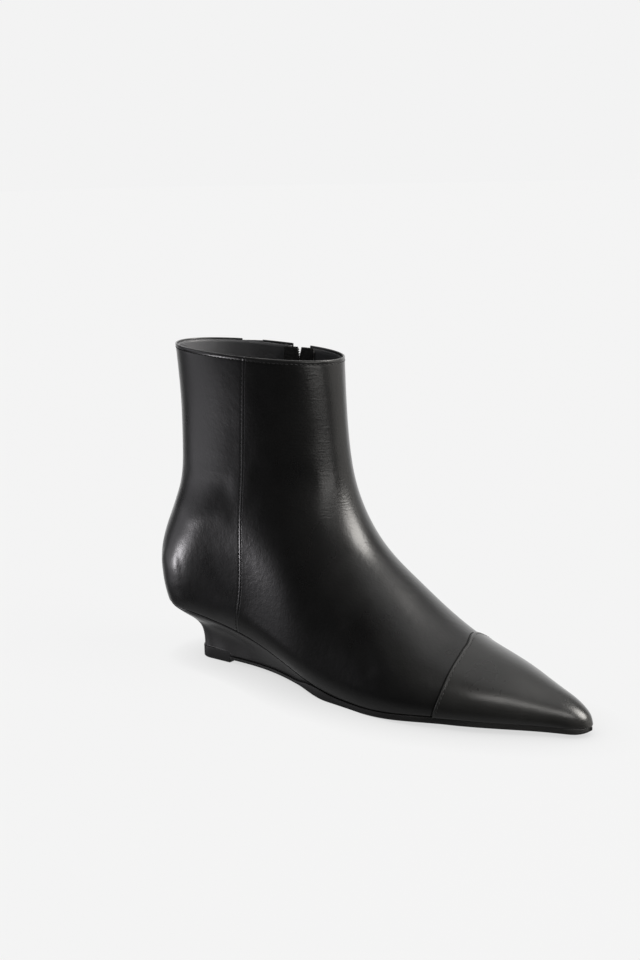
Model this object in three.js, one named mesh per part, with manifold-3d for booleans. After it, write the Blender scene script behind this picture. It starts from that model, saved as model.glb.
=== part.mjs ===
// Wedge ankle boot, right foot: pointed toe with a cap, inside zip, elastic gore and a low covered wedge.
// Millimetres. +X points to the toe, +Y to the inner (medial) side, +Z up, the floor is z = 0.
// Lengths along the foot are counted from the rearmost point of the counter.

import * as THREE from 'three';
import Module from 'manifold-3d';
import { mergeVertices } from 'three/addons/utils/BufferGeometryUtils.js';

const wasm = await Module();
wasm.setup();

// Upper
const footLength = 281;
const ballWidth = 76.5;
const collarWidth = 60.4;
const collarFrontHeight = 184;
const collarBackHeight = 189;
const upperWall = 1.8;
const crownDepth = 60;
const counterDepth = 58;
const featherTuck = 5.8;
const featherBulge = 17.4;

// Sole and wedge
const heelSeatHeight = 35;
const soleThickness = 3.4;
const toeSpring = 3.1;
const soleLip = 0.5;
const waistThickness = 2;
const waistLift = 2.7;
const wedgeInset = 0.9;
const insoleThickness = 2.5;
const insoleToeRoom = 13;

// Top piece of the heel
const topPieceSetback = 26.7;
const topPieceLength = 26.9;
const topPieceWidth = 31.8;
const topPieceHeight = 7.2;
const topPieceRound = 11.5;
const topPieceBreast = 1.6;
const topPieceProud = 0.4;
const topPieceBevel = 0.6;

// Toe cap
const capLength = 69;
const capBow = 3.4;
const capThickness = 1;

// Zip
const slotMargin = 1.4;
const slotFlare = 3;
const slotFlareHeight = 12;
const slotBottomHeight = 40;
const chainWidth = 4.8;
const chainThickness = 2.6;
const chainRecess = 0.6;
const tapeWidth = 9;
const tapeThickness = 0.7;
const tapeTopInset = 2.2;
const sliderDrop = 13.14;
const sliderLength = 9;
const sliderClear = 0.4;
const slotWidth = chainWidth + 2 * slotMargin;
const sliderWidth = slotWidth - 2 * sliderClear;
const sliderPlate = 1.1;
const sliderWing = 1.3;
const bridgeLength = 5;
const bridgeWidth = 1.6;
const bridgeBar = 1;
const pullThickness = 1;
const pullLength = 15;
const pullWidth = 4.4;
const pullWaist = 3;
const pullWindow = 3.2;
const stopWidth = 2.4;
const stopLength = 3.2;
const stopThickness = 1.7;

// Elastic gore
const goreWidth = 12.6;
const goreLength = 36;
const goreAlong = 43;
const goreRecess = 0.5;
const goreThickness = 1;

// Fit
const seamGap = 0.3;
const pivotGap = 0.4;
const cutMargin = 1;

// Mesh density
const ringCount = 23;
const halfRing = 27;
const soleStations = 32;

// Top line of the foot and front of the shaft, from the toe tip to the collar.
// along: share of footLength; rise: share of the way from the toe's feather edge to the collar
const ridgeRows = [
  { along: 1.0, rise: 0.0 },
  { along: 0.9945, rise: 0.024 },
  { along: 0.9756, rise: 0.051 },
  { along: 0.925, rise: 0.0865 },
  { along: 0.852, rise: 0.133 },
  { along: 0.77, rise: 0.18 },
  { along: 0.691, rise: 0.247 },
  { along: 0.614, rise: 0.337 },
  { along: 0.536, rise: 0.4415 },
  { along: 0.4844, rise: 0.583 },
  { along: 0.4652, rise: 0.738 },
  { along: 0.458, rise: 0.877 },
  { along: 0.453, rise: 1.0 },
];

// Back of the boot, from the heel seat over the counter to the collar.
const backRows = [
  { rise: 0.0, along: 0.0144 },
  { rise: 0.0735, along: 0.0068 },
  { rise: 0.174, along: 0.0 },
  { rise: 0.305, along: 0.016 },
  { rise: 0.451, along: 0.045 },
  { rise: 0.591, along: 0.0505 },
  { rise: 0.783, along: 0.051 },
  { rise: 1.0, along: 0.047 },
];

// Feather line, where upper and sole meet.
// seat: share of the way from the sole's thickness up to the heel seat; spring: share of toeSpring
const featherRows = [
  { along: 0.0144, seat: 1.0, spring: 0 },
  { along: 0.0676, seat: 0.99, spring: 0 },
  { along: 0.18, seat: 0.865, spring: 0 },
  { along: 0.293, seat: 0.607, spring: 0 },
  { along: 0.406, seat: 0.277, spring: 0 },
  { along: 0.5, seat: 0.045, spring: 0 },
  { along: 0.594, seat: 0, spring: 0 },
  { along: 0.707, seat: 0, spring: 0.71 },
  { along: 0.857, seat: 0, spring: 1.0 },
  { along: 1.0, seat: 0, spring: 0.65 },
];

// Plan of the foot: widest half widths and the centre line's shift to the inner side, shares of ballWidth
const planRows = [
  { along: 0.0, lateral: 0.465, medial: 0.446, shift: 0 },
  { along: 0.143, lateral: 0.448, medial: 0.434, shift: 0 },
  { along: 0.293, lateral: 0.423, medial: 0.411, shift: -0.004 },
  { along: 0.425, lateral: 0.475, medial: 0.445, shift: -0.012 },
  { along: 0.5565, lateral: 0.496, medial: 0.463, shift: -0.018 },
  { along: 0.669, lateral: 0.519, medial: 0.478, shift: -0.01 },
  { along: 0.744, lateral: 0.466, medial: 0.436, shift: 0.002 },
  { along: 0.838, lateral: 0.351, medial: 0.341, shift: 0.016 },
  { along: 0.932, lateral: 0.185, medial: 0.187, shift: 0.03 },
  { along: 1.0, lateral: 0.085, medial: 0.086, shift: 0.038 },
];

// How far the side walls pull in at the feather edge and how high that hollow reaches
const edgeRows = [
  { along: 0.0, tuck: 0.5, bulge: 0.89 },
  { along: 0.22, tuck: 0.75, bulge: 1.0 },
  { along: 0.41, tuck: 1.0, bulge: 1.0 },
  { along: 0.56, tuck: 0.58, bulge: 0.82 },
  { along: 0.75, tuck: 0.33, bulge: 0.6 },
  { along: 1.0, tuck: 0.17, bulge: 0.28 },
];

// Depth of the crowned top under the ridge line, by share of the ridge line's length
const crownRows = [
  { reach: 0.0, depth: 0.13 },
  { reach: 0.06, depth: 0.193 },
  { reach: 0.15, depth: 0.322 },
  { reach: 0.3, depth: 0.58 },
  { reach: 0.42, depth: 0.836 },
  { reach: 0.55, depth: 1.0 },
  { reach: 0.7, depth: 1.0 },
  { reach: 1.0, depth: 0.965 },
];

// Shaft: half width as a share of half the collar's width, counter rounding as a share of counterDepth
const shaftRows = [
  { rise: 0.19, width: 1.08, round: 0.6 },
  { rise: 0.315, width: 1.07, round: 0.7 },
  { rise: 0.472, width: 1.006, round: 0.84 },
  { rise: 0.63, width: 0.917, round: 0.93 },
  { rise: 0.787, width: 0.885, round: 0.98 },
  { rise: 1.0, width: 1.0, round: 1.0 },
];
const shaftStartShare = 0.315;
const shaftFullShare = 0.682;

// How round the form's edges are, and how the rings turn from the feather line's slope to the collar's
const roundness = 2.3;
const ringTurnShare = 0.45;
const heelPace = 1.15;
const ringPace = 1.2;

// Sole outline under the waist, as a share of the feather edge's half width
const waistRows = [
  { along: 0.1, width: 0.56 },
  { along: 0.2, width: 0.575 },
  { along: 0.257, width: 0.615 },
  { along: 0.295, width: 0.66 },
  { along: 0.336, width: 0.725 },
  { along: 0.374, width: 0.8 },
  { along: 0.418, width: 0.9 },
  { along: 0.463, width: 0.98 },
  { along: 0.51, width: 1.0 },
];
const waistEndShare = 0.51;
const liftEndShare = 0.41;
const flatStartShare = 0.5;
const wedgeFrontShare = 0.487;

// Hollow of the wedge's back: how far each level has moved from the seat's outline to the top piece's
const wedgeRows = [
  { down: 0.0, inward: 0.0 },
  { down: 0.07, inward: 0.09 },
  { down: 0.19, inward: 0.34 },
  { down: 0.325, inward: 0.66 },
  { down: 0.45, inward: 0.86 },
  { down: 0.61, inward: 0.965 },
  { down: 0.8, inward: 1.0 },
  { down: 1.0, inward: 1.0 },
];
const flankStartShare = 0.16;
const flankFullShare = 0.3;
const flankHollowShare = 0.35;
const seatRound = 8;
const heelToWaist = 14;
const tipRound = 6;
const wedgeLevels = [1, 0.85, 0.7, 0.57, 0.46, 0.36, 0.27, 0.19, 0.12, 0.06, 0.02, 0];

// Centre line of the zip in side view
const zipRows = [
  { rise: 0.15, along: 0.309 },
  { rise: 0.3, along: 0.299 },
  { rise: 0.5, along: 0.287 },
  { rise: 0.75, along: 0.281 },
  { rise: 1.0, along: 0.279 },
];

const clamp01 = (value) => Math.min(Math.max(value, 0), 1);
const smooth = (value) => clamp01(value) ** 2 * (3 - 2 * clamp01(value));
const lerp = THREE.MathUtils.lerp;

// Natural cubic spline through a table's two columns, straight past its ends.
function curve(rows, from, to) {
  const xs = rows.map((row) => row[from]);
  const ys = rows.map((row) => row[to]);
  const last = xs.length - 1;
  const bend = new Array(xs.length).fill(0);
  const upper = new Array(xs.length).fill(0);
  for (let i = 1; i < last; i += 1) {
    const before = xs[i] - xs[i - 1];
    const after = xs[i + 1] - xs[i];
    const rise = (ys[i + 1] - ys[i]) / after - (ys[i] - ys[i - 1]) / before;
    const pivot = 2 * (before + after) - before * upper[i - 1];
    upper[i] = after / pivot;
    bend[i] = (6 * rise - before * bend[i - 1]) / pivot;
  }
  for (let i = last - 1; i > 0; i -= 1) bend[i] -= upper[i] * bend[i + 1];
  const firstStep = xs[1] - xs[0];
  const lastStep = xs[last] - xs[last - 1];
  const startSlope = (ys[1] - ys[0]) / firstStep - (firstStep * bend[1]) / 6;
  const endSlope = (ys[last] - ys[last - 1]) / lastStep + (lastStep * bend[last - 1]) / 6;
  return (x) => {
    if (x <= xs[0]) return ys[0] + startSlope * (x - xs[0]);
    if (x >= xs[last]) return ys[last] + endSlope * (x - xs[last]);
    let i = 0;
    while (x > xs[i + 1]) i += 1;
    const step = xs[i + 1] - xs[i];
    const a = (xs[i + 1] - x) / step;
    const b = 1 - a;
    const bow = ((a ** 3 - a) * bend[i] + (b ** 3 - b) * bend[i + 1]) * step ** 2 / 6;
    return a * ys[i] + b * ys[i + 1] + bow;
  };
}

// The last's form
const seatCurve = curve(featherRows, 'along', 'seat');
const springCurve = curve(featherRows, 'along', 'spring');
const spring = (x) => toeSpring * Math.max(springCurve(x / footLength), 0);
const feather = (x) => soleThickness + spring(x)
  + (heelSeatHeight - soleThickness) * Math.max(seatCurve(x / footLength), 0);
const toeFeather = feather(footLength);

const ridgeLengths = ridgeRows.reduce((sums, row, i) => {
  const before = ridgeRows[Math.max(i - 1, 0)];
  const run = (row.along - before.along) * footLength;
  const climb = (row.rise - before.rise) * (collarFrontHeight - toeFeather);
  return [...sums, (sums[i - 1] ?? 0) + Math.hypot(run, climb)];
}, []);
const ridgeTotal = ridgeLengths[ridgeLengths.length - 1];
const ridgePoints = ridgeRows.map((row, i) => ({
  reach: ridgeLengths[i] / ridgeTotal,
  x: row.along * footLength,
  z: toeFeather + row.rise * (collarFrontHeight - toeFeather),
}));
const ridgeX = curve(ridgePoints, 'reach', 'x');
const ridgeZ = curve(ridgePoints, 'reach', 'z');
const ridgeSteps = 360;
const ridgeSamples = Array.from({ length: ridgeSteps + 1 }, (_, i) => ({
  reach: i / ridgeSteps,
  x: ridgeX(i / ridgeSteps),
  z: ridgeZ(i / ridgeSteps),
}));

const backPoints = backRows.map((row) => ({
  x: row.along * footLength,
  z: heelSeatHeight + row.rise * (collarBackHeight - heelSeatHeight),
}));
const backX = curve(backPoints, 'z', 'x');
const lateralPlan = curve(planRows, 'along', 'lateral');
const medialPlan = curve(planRows, 'along', 'medial');
const planShift = curve(planRows, 'along', 'shift');
const centre = (x) => ballWidth * planShift(x / footLength);
const tuckCurve = curve(edgeRows, 'along', 'tuck');
const bulgeCurve = curve(edgeRows, 'along', 'bulge');
const crownCurve = curve(crownRows, 'reach', 'depth');
const shaftCurve = curve(shaftRows, 'rise', 'width');
const counterCurve = curve(shaftRows, 'rise', 'round');

// Distance from a side-view point to the ridge line, and where along that line it lies
function ridgeDistance(x, z) {
  let best = 1;
  let least = Infinity;
  for (let i = 1; i < ridgeSteps; i += 1) {
    const square = (ridgeSamples[i].x - x) ** 2 + (ridgeSamples[i].z - z) ** 2;
    if (square < least) {
      least = square;
      best = i;
    }
  }
  const square = (i) => (ridgeSamples[i].x - x) ** 2 + (ridgeSamples[i].z - z) ** 2;
  const [low, mid, high] = [square(best - 1), square(best), square(best + 1)];
  const slip = THREE.MathUtils.clamp(0.5 * (low - high) / (low - 2 * mid + high), -1, 1);
  const reach = (best + slip) / ridgeSteps;
  return { distance: Math.hypot(ridgeX(reach) - x, ridgeZ(reach) - z), reach };
}

// Height of the ridge line above a point of the foot's length
const nearestRidgeHeight = (x) => ridgeSamples.reduce(
  (best, sample) => (Math.abs(sample.x - x) < Math.abs(best.x - x) ? sample : best),
).z;

// Quarter-round law: 0 at the edge of a form, 1 from its full depth inward
const roundIn = (share) => Math.sqrt(1 - (1 - clamp01(share)) ** roundness);

// Half breadth of the boot at a side-view point; side is -1 for lateral and 1 for medial
function halfBreadth(x, z, side) {
  const { distance, reach } = ridgeDistance(x, z);
  const crown = crownDepth * crownCurve(reach);
  const rise = z / collarFrontHeight;
  const counter = counterDepth * counterCurve(rise);
  const foot = ballWidth * (side < 0 ? lateralPlan : medialPlan)(x / footLength);
  const shaft = 0.5 * collarWidth * shaftCurve(rise);
  const width = lerp(foot, shaft, smooth((rise - shaftStartShare) / (shaftFullShare - shaftStartShare)));
  const height = Math.max(z - feather(x), 0);
  const hollow = clamp01(1 - height / (featherBulge * bulgeCurve(x / footLength))) ** 2;
  const tuck = featherTuck * tuckCurve(x / footLength) * hollow;
  return (width - tuck) * roundIn(distance / crown) * roundIn((x - backX(z)) / counter);
}

// A point of the outer surface: level 0 is the feather edge and 1 the collar;
// turn runs from the back (0) round the lateral side to the front (0.5) and back along the medial side (1)
function lastPoint(level, turn) {
  const round = turn - Math.floor(turn);
  const side = round < 0.5 ? -1 : 1;
  const forward = (1 - Math.cos(2 * Math.PI * round)) / 2;
  const frontX = ridgeX(level);
  const frontZ = ridgeZ(level);
  const heelZ = heelSeatHeight + (collarBackHeight - heelSeatHeight) * level ** heelPace;
  const heelX = backX(heelZ);
  const x = lerp(heelX, frontX, forward);
  const low = feather(x) + lerp(heelZ - feather(heelX), frontZ - feather(frontX), forward);
  const high = lerp(heelZ, frontZ, forward);
  const z = lerp(low, high, smooth((level - ringTurnShare) / (1 - ringTurnShare)));
  return new THREE.Vector3(x, centre(x) + side * halfBreadth(x, z, side), z);
}

// The same point moved along the surface's normal; at both rims it stays in the rim's own surface
function offsetPoint(level, turn, offset) {
  const point = lastPoint(level, turn);
  if (offset === 0) return point;
  const step = 0.002;
  const along = lastPoint(level, turn + step).sub(lastPoint(level, turn - step));
  const lowLevel = Math.max(level - step, 0);
  const highLevel = Math.min(level + step, 1);
  const up = lastPoint(highLevel, turn).sub(lastPoint(lowLevel, turn));
  const normal = new THREE.Vector3().crossVectors(along, up);
  const rimZone = 0.03;
  const lift = Math.min(level, 1 - level) / rimZone;
  normal.normalize();
  normal.z *= smooth(lift);
  normal.normalize();
  point.addScaledVector(normal, offset);
  if (level === 0) point.z = feather(point.x);
  if (level === 1) point.z = collarHeight(point.x);
  return point;
}

const collarBackX = backX(collarBackHeight);
const collarFrontX = ridgeX(1);
const collarHeight = (x) => lerp(
  collarBackHeight,
  collarFrontHeight,
  (x - collarBackX) / (collarFrontX - collarBackX),
);

const levels = Array.from({ length: ringCount + 1 }, (_, i) => (i / ringCount) ** ringPace);
const turns = Array.from({ length: 2 * halfRing }, (_, i) => i / (2 * halfRing));
const lastRings = (offset) => levels.map((level) => turns.map((turn) => offsetPoint(level, turn, offset)));

// Triangles between two rings of equal count
function bridgeRings(triangles, lower, higher, count) {
  for (let i = 0; i < count; i += 1) {
    const next = (i + 1) % count;
    triangles.push([lower + i, lower + next, higher + next], [lower + i, higher + next, higher + i]);
  }
}

// A ring closed by strips between its mirrored pairs of points
function closeRing(triangles, start, count, faceUp) {
  const add = (a, b, c) => triangles.push(faceUp ? [a, b, c] : [a, c, b]);
  for (let i = 0; i < count / 2; i += 1) {
    const left = start + i;
    const leftNext = start + i + 1;
    const right = start + ((count - i) % count);
    const rightNext = start + count - i - 1;
    if (left !== right) add(left, leftNext, right);
    if (leftNext !== rightNext) add(leftNext, rightNext, right);
  }
}

function solidFrom(points, triangles) {
  const vertProperties = new Float32Array(points.flatMap((point) => [point.x, point.y, point.z]));
  const triVerts = new Uint32Array(triangles.flat());
  return new wasm.Manifold(new wasm.Mesh({ numProp: 3, vertProperties, triVerts }));
}

// Closed body through a stack of rings, lowest first
function loft(rings) {
  const count = rings[0].length;
  const triangles = [];
  rings.slice(1).forEach((_, i) => bridgeRings(triangles, i * count, (i + 1) * count, count));
  closeRing(triangles, 0, count, false);
  closeRing(triangles, (rings.length - 1) * count, count, true);
  return solidFrom(rings.flat(), triangles);
}

// Tube-like body between an outer and an inner stack of rings, open at both ends
function shell(outer, inner) {
  const count = outer[0].length;
  const height = outer.length;
  const inside = height * count;
  const triangles = [];
  for (let i = 0; i < height - 1; i += 1) {
    bridgeRings(triangles, i * count, (i + 1) * count, count);
    bridgeRings(triangles, inside + (i + 1) * count, inside + i * count, count);
  }
  bridgeRings(triangles, inside, 0, count);
  bridgeRings(triangles, (height - 1) * count, inside + (height - 1) * count, count);
  return solidFrom([...outer, ...inner].flat(), triangles);
}

// The whole last, filled, at an offset from the upper's outer surface; a skirt carries it lower
function filledLast(offset, skirt = 0) {
  const rings = lastRings(offset);
  if (skirt > 0) {
    const lower = rings[0].map((point) => new THREE.Vector3(point.x, point.y, point.z - skirt));
    rings.unshift(lower);
  }
  return loft(rings);
}

function solidFromGeometry(geometry) {
  const bare = geometry.clone();
  bare.deleteAttribute('normal');
  bare.deleteAttribute('uv');
  const merged = mergeVertices(bare, 1e-5);
  return new wasm.Manifold(new wasm.Mesh({
    numProp: 3,
    vertProperties: new Float32Array(merged.attributes.position.array),
    triVerts: new Uint32Array(merged.index.array),
  }));
}

// Prism with a side-view outline of [x, z] points, between two values of y
function sidePrism(outline, lowY, highY) {
  const shape = new THREE.Shape(outline.map(([x, z]) => new THREE.Vector2(x, z)));
  const geometry = new THREE.ExtrudeGeometry(shape, { depth: highY - lowY, bevelEnabled: false });
  geometry.rotateX(Math.PI / 2);
  geometry.translate(0, highY, 0);
  return solidFromGeometry(geometry);
}

function box(lowX, highX, lowY, highY, lowZ, highZ) {
  const geometry = new THREE.BoxGeometry(highX - lowX, highY - lowY, highZ - lowZ);
  geometry.translate((lowX + highX) / 2, (lowY + highY) / 2, (lowZ + highZ) / 2);
  return solidFromGeometry(geometry);
}

function toGeometry(solid) {
  const mesh = solid.getMesh();
  const geometry = new THREE.BufferGeometry();
  geometry.setAttribute('position', new THREE.BufferAttribute(new Float32Array(mesh.vertProperties), 3));
  geometry.setIndex(new THREE.BufferAttribute(new Uint32Array(mesh.triVerts), 1));
  geometry.computeVertexNormals();
  return geometry;
}

function piece(name, solid, material) {
  const mesh = new THREE.Mesh(toGeometry(solid), material);
  mesh.name = name;
  return mesh;
}

const paint = (color, roughness, metalness = 0) => (
  new THREE.MeshStandardMaterial({ color, roughness, metalness })
);

// Medial side: everything of the zip and the gore lies between these two planes
const medialNear = 4;
const medialFar = ballWidth;

// Layer of the last between two depths under its outer surface, cut to a side-view outline
function layer(nearDepth, farDepth, outline) {
  const cut = sidePrism(outline, medialNear, medialFar);
  return filledLast(-nearDepth).subtract(filledLast(-farDepth)).intersect(cut);
}

// Zip slot, chain and tapes
const zipCurve = curve(zipRows, 'rise', 'along');
const zipX = (z) => footLength * zipCurve(z / collarFrontHeight);
const slotTopHeight = collarHeight(zipX(collarFrontHeight));
const sliderHeight = slotTopHeight - sliderDrop;
const zipSteps = 14;

// Side-view band that follows the zip from a lower to an upper height, between two distances ahead of it
function zipBand(lowZ, highZ, behind, ahead) {
  const heights = Array.from({ length: zipSteps + 1 }, (_, i) => lerp(lowZ, highZ, i / zipSteps));
  const aheadSide = heights.map((z) => [zipX(z) + ahead(z), z]);
  const behindSide = heights.map((z) => [zipX(z) + behind(z), z]).reverse();
  return [...aheadSide, ...behindSide];
}

const flare = (z) => slotFlare * smooth((z - slotTopHeight + slotFlareHeight) / slotFlareHeight);
const slotHalf = (z) => slotWidth / 2 + flare(z);

function slotOutline() {
  const cutAbove = 6;
  const arcSteps = 6;
  const radius = slotWidth / 2;
  const band = zipBand(slotBottomHeight + radius, slotTopHeight + cutAbove, (z) => -slotHalf(z), slotHalf);
  const middle = zipX(slotBottomHeight + radius);
  const arc = Array.from({ length: arcSteps - 1 }, (_, i) => {
    const angle = Math.PI * (1 + (i + 1) / arcSteps);
    return [middle + radius * Math.cos(angle), slotBottomHeight + radius + radius * Math.sin(angle)];
  });
  return [...band, ...arc];
}

function goreOutline(inset, top) {
  const half = goreWidth / 2;
  const slope = half / goreLength;
  const sideInset = inset * Math.hypot(1, slope);
  const apex = slotTopHeight - goreLength + sideInset / slope;
  const topHalf = (top - apex) * slope;
  return [[goreAlong, apex], [goreAlong + topHalf, top], [goreAlong - topHalf, top]];
}

function makeUpper() {
  const goreCutAbove = 8;
  const slot = sidePrism(slotOutline(), medialNear, medialFar);
  const notch = sidePrism(goreOutline(0, collarBackHeight + goreCutAbove), medialNear, medialFar);
  return shell(lastRings(0), lastRings(-upperWall)).subtract(slot).subtract(notch);
}

function makeGore() {
  const topEdge = collarHeight(goreAlong + goreWidth) - seamGap;
  return layer(goreRecess, goreRecess + goreThickness, goreOutline(seamGap, topEdge));
}

const chainTop = sliderHeight + sliderLength / 2;
const tapeDepth = upperWall + seamGap;

function makeChain() {
  const half = () => chainWidth / 2;
  const low = slotBottomHeight + slotWidth / 4;
  const outline = zipBand(low, chainTop, () => -half(), half);
  return layer(chainRecess, chainRecess + chainThickness, outline);
}

function makeTape(side) {
  const near = chainWidth / 2 + seamGap;
  const far = near + tapeWidth;
  const behind = () => (side > 0 ? near : -far);
  const ahead = () => (side > 0 ? far : -near);
  const outline = zipBand(slotBottomHeight - tapeWidth, slotTopHeight - tapeTopInset, behind, ahead);
  return layer(tapeDepth, tapeDepth + tapeThickness, outline);
}

// Frame of the slider: its origin on the upper's outer surface, +Y outward, +Z up along the zip
const zipSurface = (z) => centre(zipX(z)) + halfBreadth(zipX(z), z, 1);
const zipLean = (z) => {
  const reach = 4;
  return Math.atan((zipSurface(z + reach) - zipSurface(z - reach)) / (2 * reach));
};

function zipFrame(z) {
  const frame = new THREE.Group();
  frame.position.set(zipX(z), zipSurface(z), z);
  frame.rotation.x = -zipLean(z);
  return frame;
}

const plateBottom = seamGap - chainRecess;
const plateTop = plateBottom + sliderPlate;
const pivotHeight = plateTop + pivotGap + pullThickness / 2;
const bridgeUnder = pivotHeight + pullThickness / 2 + pivotGap;

function makeSlider() {
  const half = sliderWidth / 2;
  const end = sliderLength / 2;
  const corner = half / 2;
  const plate = sidePrism([
    [-half, end - corner], [-half, 0], [-corner, -end], [corner, -end],
    [half, 0], [half, end - corner], [corner, end], [-corner, end],
  ].reverse(), plateBottom, plateTop);
  const wingInner = chainWidth / 2 + seamGap;
  const wingFloor = plateBottom - sliderWing;
  const overlap = sliderPlate / 2;
  const wings = [1, -1].map((side) => {
    const [low, high] = [side * wingInner, side * half].sort((a, b) => a - b);
    return box(low, high, wingFloor, plateBottom + overlap, -end / 4, end - corner);
  });
  const legEnd = bridgeLength / 2;
  const across = bridgeWidth / 2;
  const bridge = box(-across, across, bridgeUnder, bridgeUnder + bridgeBar, -legEnd, legEnd);
  const legs = [1, -1].map((side) => {
    const [low, high] = [side * legEnd, side * (legEnd - bridgeBar)].sort((a, b) => a - b);
    return box(-across, across, plateTop - overlap, bridgeUnder + overlap, low, high);
  });
  return [...wings, bridge, ...legs].reduce((body, part) => body.add(part), plate);
}

// Pull tab in its own frame: the cross bar's axis is X, and the tab hangs down from it
function makePull() {
  const half = pullWidth / 2;
  const bar = pullThickness / 2;
  const waist = pullWaist / 2;
  const tipSteps = 8;
  const tipCentre = -pullLength + half;
  const tip = Array.from({ length: tipSteps + 1 }, (_, i) => {
    const angle = -Math.PI * (i / tipSteps);
    return [half * Math.cos(angle), tipCentre + half * Math.sin(angle)];
  });
  const shoulderZ = -pullWindow - pullThickness;
  const waistZ = shoulderZ - pullWaist;
  const outline = [[-half, bar], [half, bar], [half, shoulderZ], [waist, waistZ]];
  outline.push(...tip, [-waist, waistZ], [-half, shoulderZ]);
  const tab = sidePrism(outline.reverse(), -bar, bar);
  const opening = bridgeWidth / 2 + pivotGap;
  const window = box(-opening, opening, -2 * bar, 2 * bar, -bar - pullWindow, -bar);
  return tab.subtract(window);
}

function makeStop() {
  const back = -tapeDepth + seamGap;
  return box(-stopWidth / 2, stopWidth / 2, back, back + stopThickness, -stopLength / 2, stopLength / 2);
}

// Toe cap: a layer over the last in front of a slightly bowed line
function makeToeCap() {
  const capX = footLength - capLength;
  const top = ridgeZ(0.5);
  const middle = 0.5 * nearestRidgeHeight(capX);
  const bowSteps = 12;
  const margin = ballWidth / 4;
  const edge = Array.from({ length: bowSteps + 1 }, (_, i) => {
    const z = lerp(-margin, top, i / bowSteps);
    return [capX + capBow * Math.max(1 - ((z - middle) / middle) ** 2, -1), z];
  });
  const outline = [[footLength + margin, -margin], [footLength + margin, top], ...edge.reverse()];
  const cutter = sidePrism(outline, -ballWidth, ballWidth);
  const under = filledLast(seamGap, soleThickness);
  return filledLast(seamGap + capThickness).subtract(under).intersect(cutter);
}

// Sole
const waistCurve = curve(waistRows, 'along', 'width');
const breastX = topPieceSetback + topPieceLength;
const wedgeFrontX = wedgeFrontShare * footLength;
const treadHeight = (x) => (x < flatStartShare * footLength
  ? waistLift * (1 - smooth((x / footLength - liftEndShare) / (flatStartShare - liftEndShare)))
  : spring(x));
const featherHalf = (x, side) => halfBreadth(x, feather(x), side);
const waistShare = (x) => (x < waistEndShare * footLength ? waistCurve(x / footLength) : 1);

// Ring with mirrored pairs of points at stations from the back to the front, and a middle point at each end.
// A round back has no width at its first station, a blunt one has two corners there
function outlineRing(stations, halfWidth, height, bluntBack = false) {
  const place = (x, y) => new THREE.Vector3(x, y, height(x));
  const front = stations[stations.length - 1];
  const sideStations = bluntBack ? stations : stations.slice(1);
  const side = (sign) => sideStations.map((x) => place(x, centre(x) + sign * halfWidth(x, sign)));
  return [
    place(stations[0], centre(stations[0])),
    ...side(-1),
    place(front, centre(front)),
    ...side(1).reverse(),
  ];
}

// Stations from low to high; a round back has them closer together there
const stationsBetween = (low, high, count, roundBack = false) => (
  Array.from({ length: count + 1 }, (_, i) => {
    const share = i / count;
    return lerp(low, high, roundBack ? 1 - Math.cos(share * Math.PI / 2) : share);
  })
);

// Outsole: thin under the wedge, full thickness from the ball to the toe
function makeOutsole() {
  const back = breastX + topPieceBreast + seamGap;
  const tip = footLength + soleLip;
  const half = (x, side) => {
    const lip = soleLip * roundIn((tip - x) / tipRound);
    return waistShare(x) * featherHalf(Math.min(x, footLength), side) + lip;
  };
  const tipStations = [0.6, 0.3, 0.1, 0].map((share) => tip - share * tipRound);
  const stations = [...stationsBetween(back, tip - tipRound, soleStations), ...tipStations];
  const ring = (height) => outlineRing(stations, half, height, true);
  const underUpper = (x) => feather(Math.min(x, footLength)) - seamGap;
  const solid = loft([ring(treadHeight), ring(underUpper)]);
  const pocketFront = wedgeFrontX + seamGap;
  const floorLine = stationsBetween(back - soleThickness, pocketFront, soleStations / 2)
    .map((x) => [x, treadHeight(x) + waistThickness]);
  const above = collarFrontHeight / 2;
  const outline = [...floorLine, [pocketFront, above], [floorLine[0][0], above]];
  return solid.subtract(sidePrism(outline, -ballWidth, ballWidth));
}

// Outline of the top piece: straight sides and a rounded back
const topPieceHalf = (x) => 0.5 * topPieceWidth * roundIn((x - topPieceSetback) / topPieceRound);

function makeTopPiece() {
  const rows = [
    { z: 0, grow: -topPieceProud, front: breastX },
    { z: topPieceBevel, grow: 0, front: breastX + topPieceBevel },
    { z: waistLift, grow: 0, front: breastX + topPieceBreast },
    { z: topPieceHeight, grow: 0, front: breastX + topPieceBreast },
  ];
  const rings = rows.map(({ z, grow, front }) => {
    const stations = stationsBetween(topPieceSetback - grow, front, halfRing, true);
    return outlineRing(stations, (x) => Math.max(topPieceHalf(x - grow) + grow, 0), () => z);
  });
  return loft(rings);
}

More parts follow.
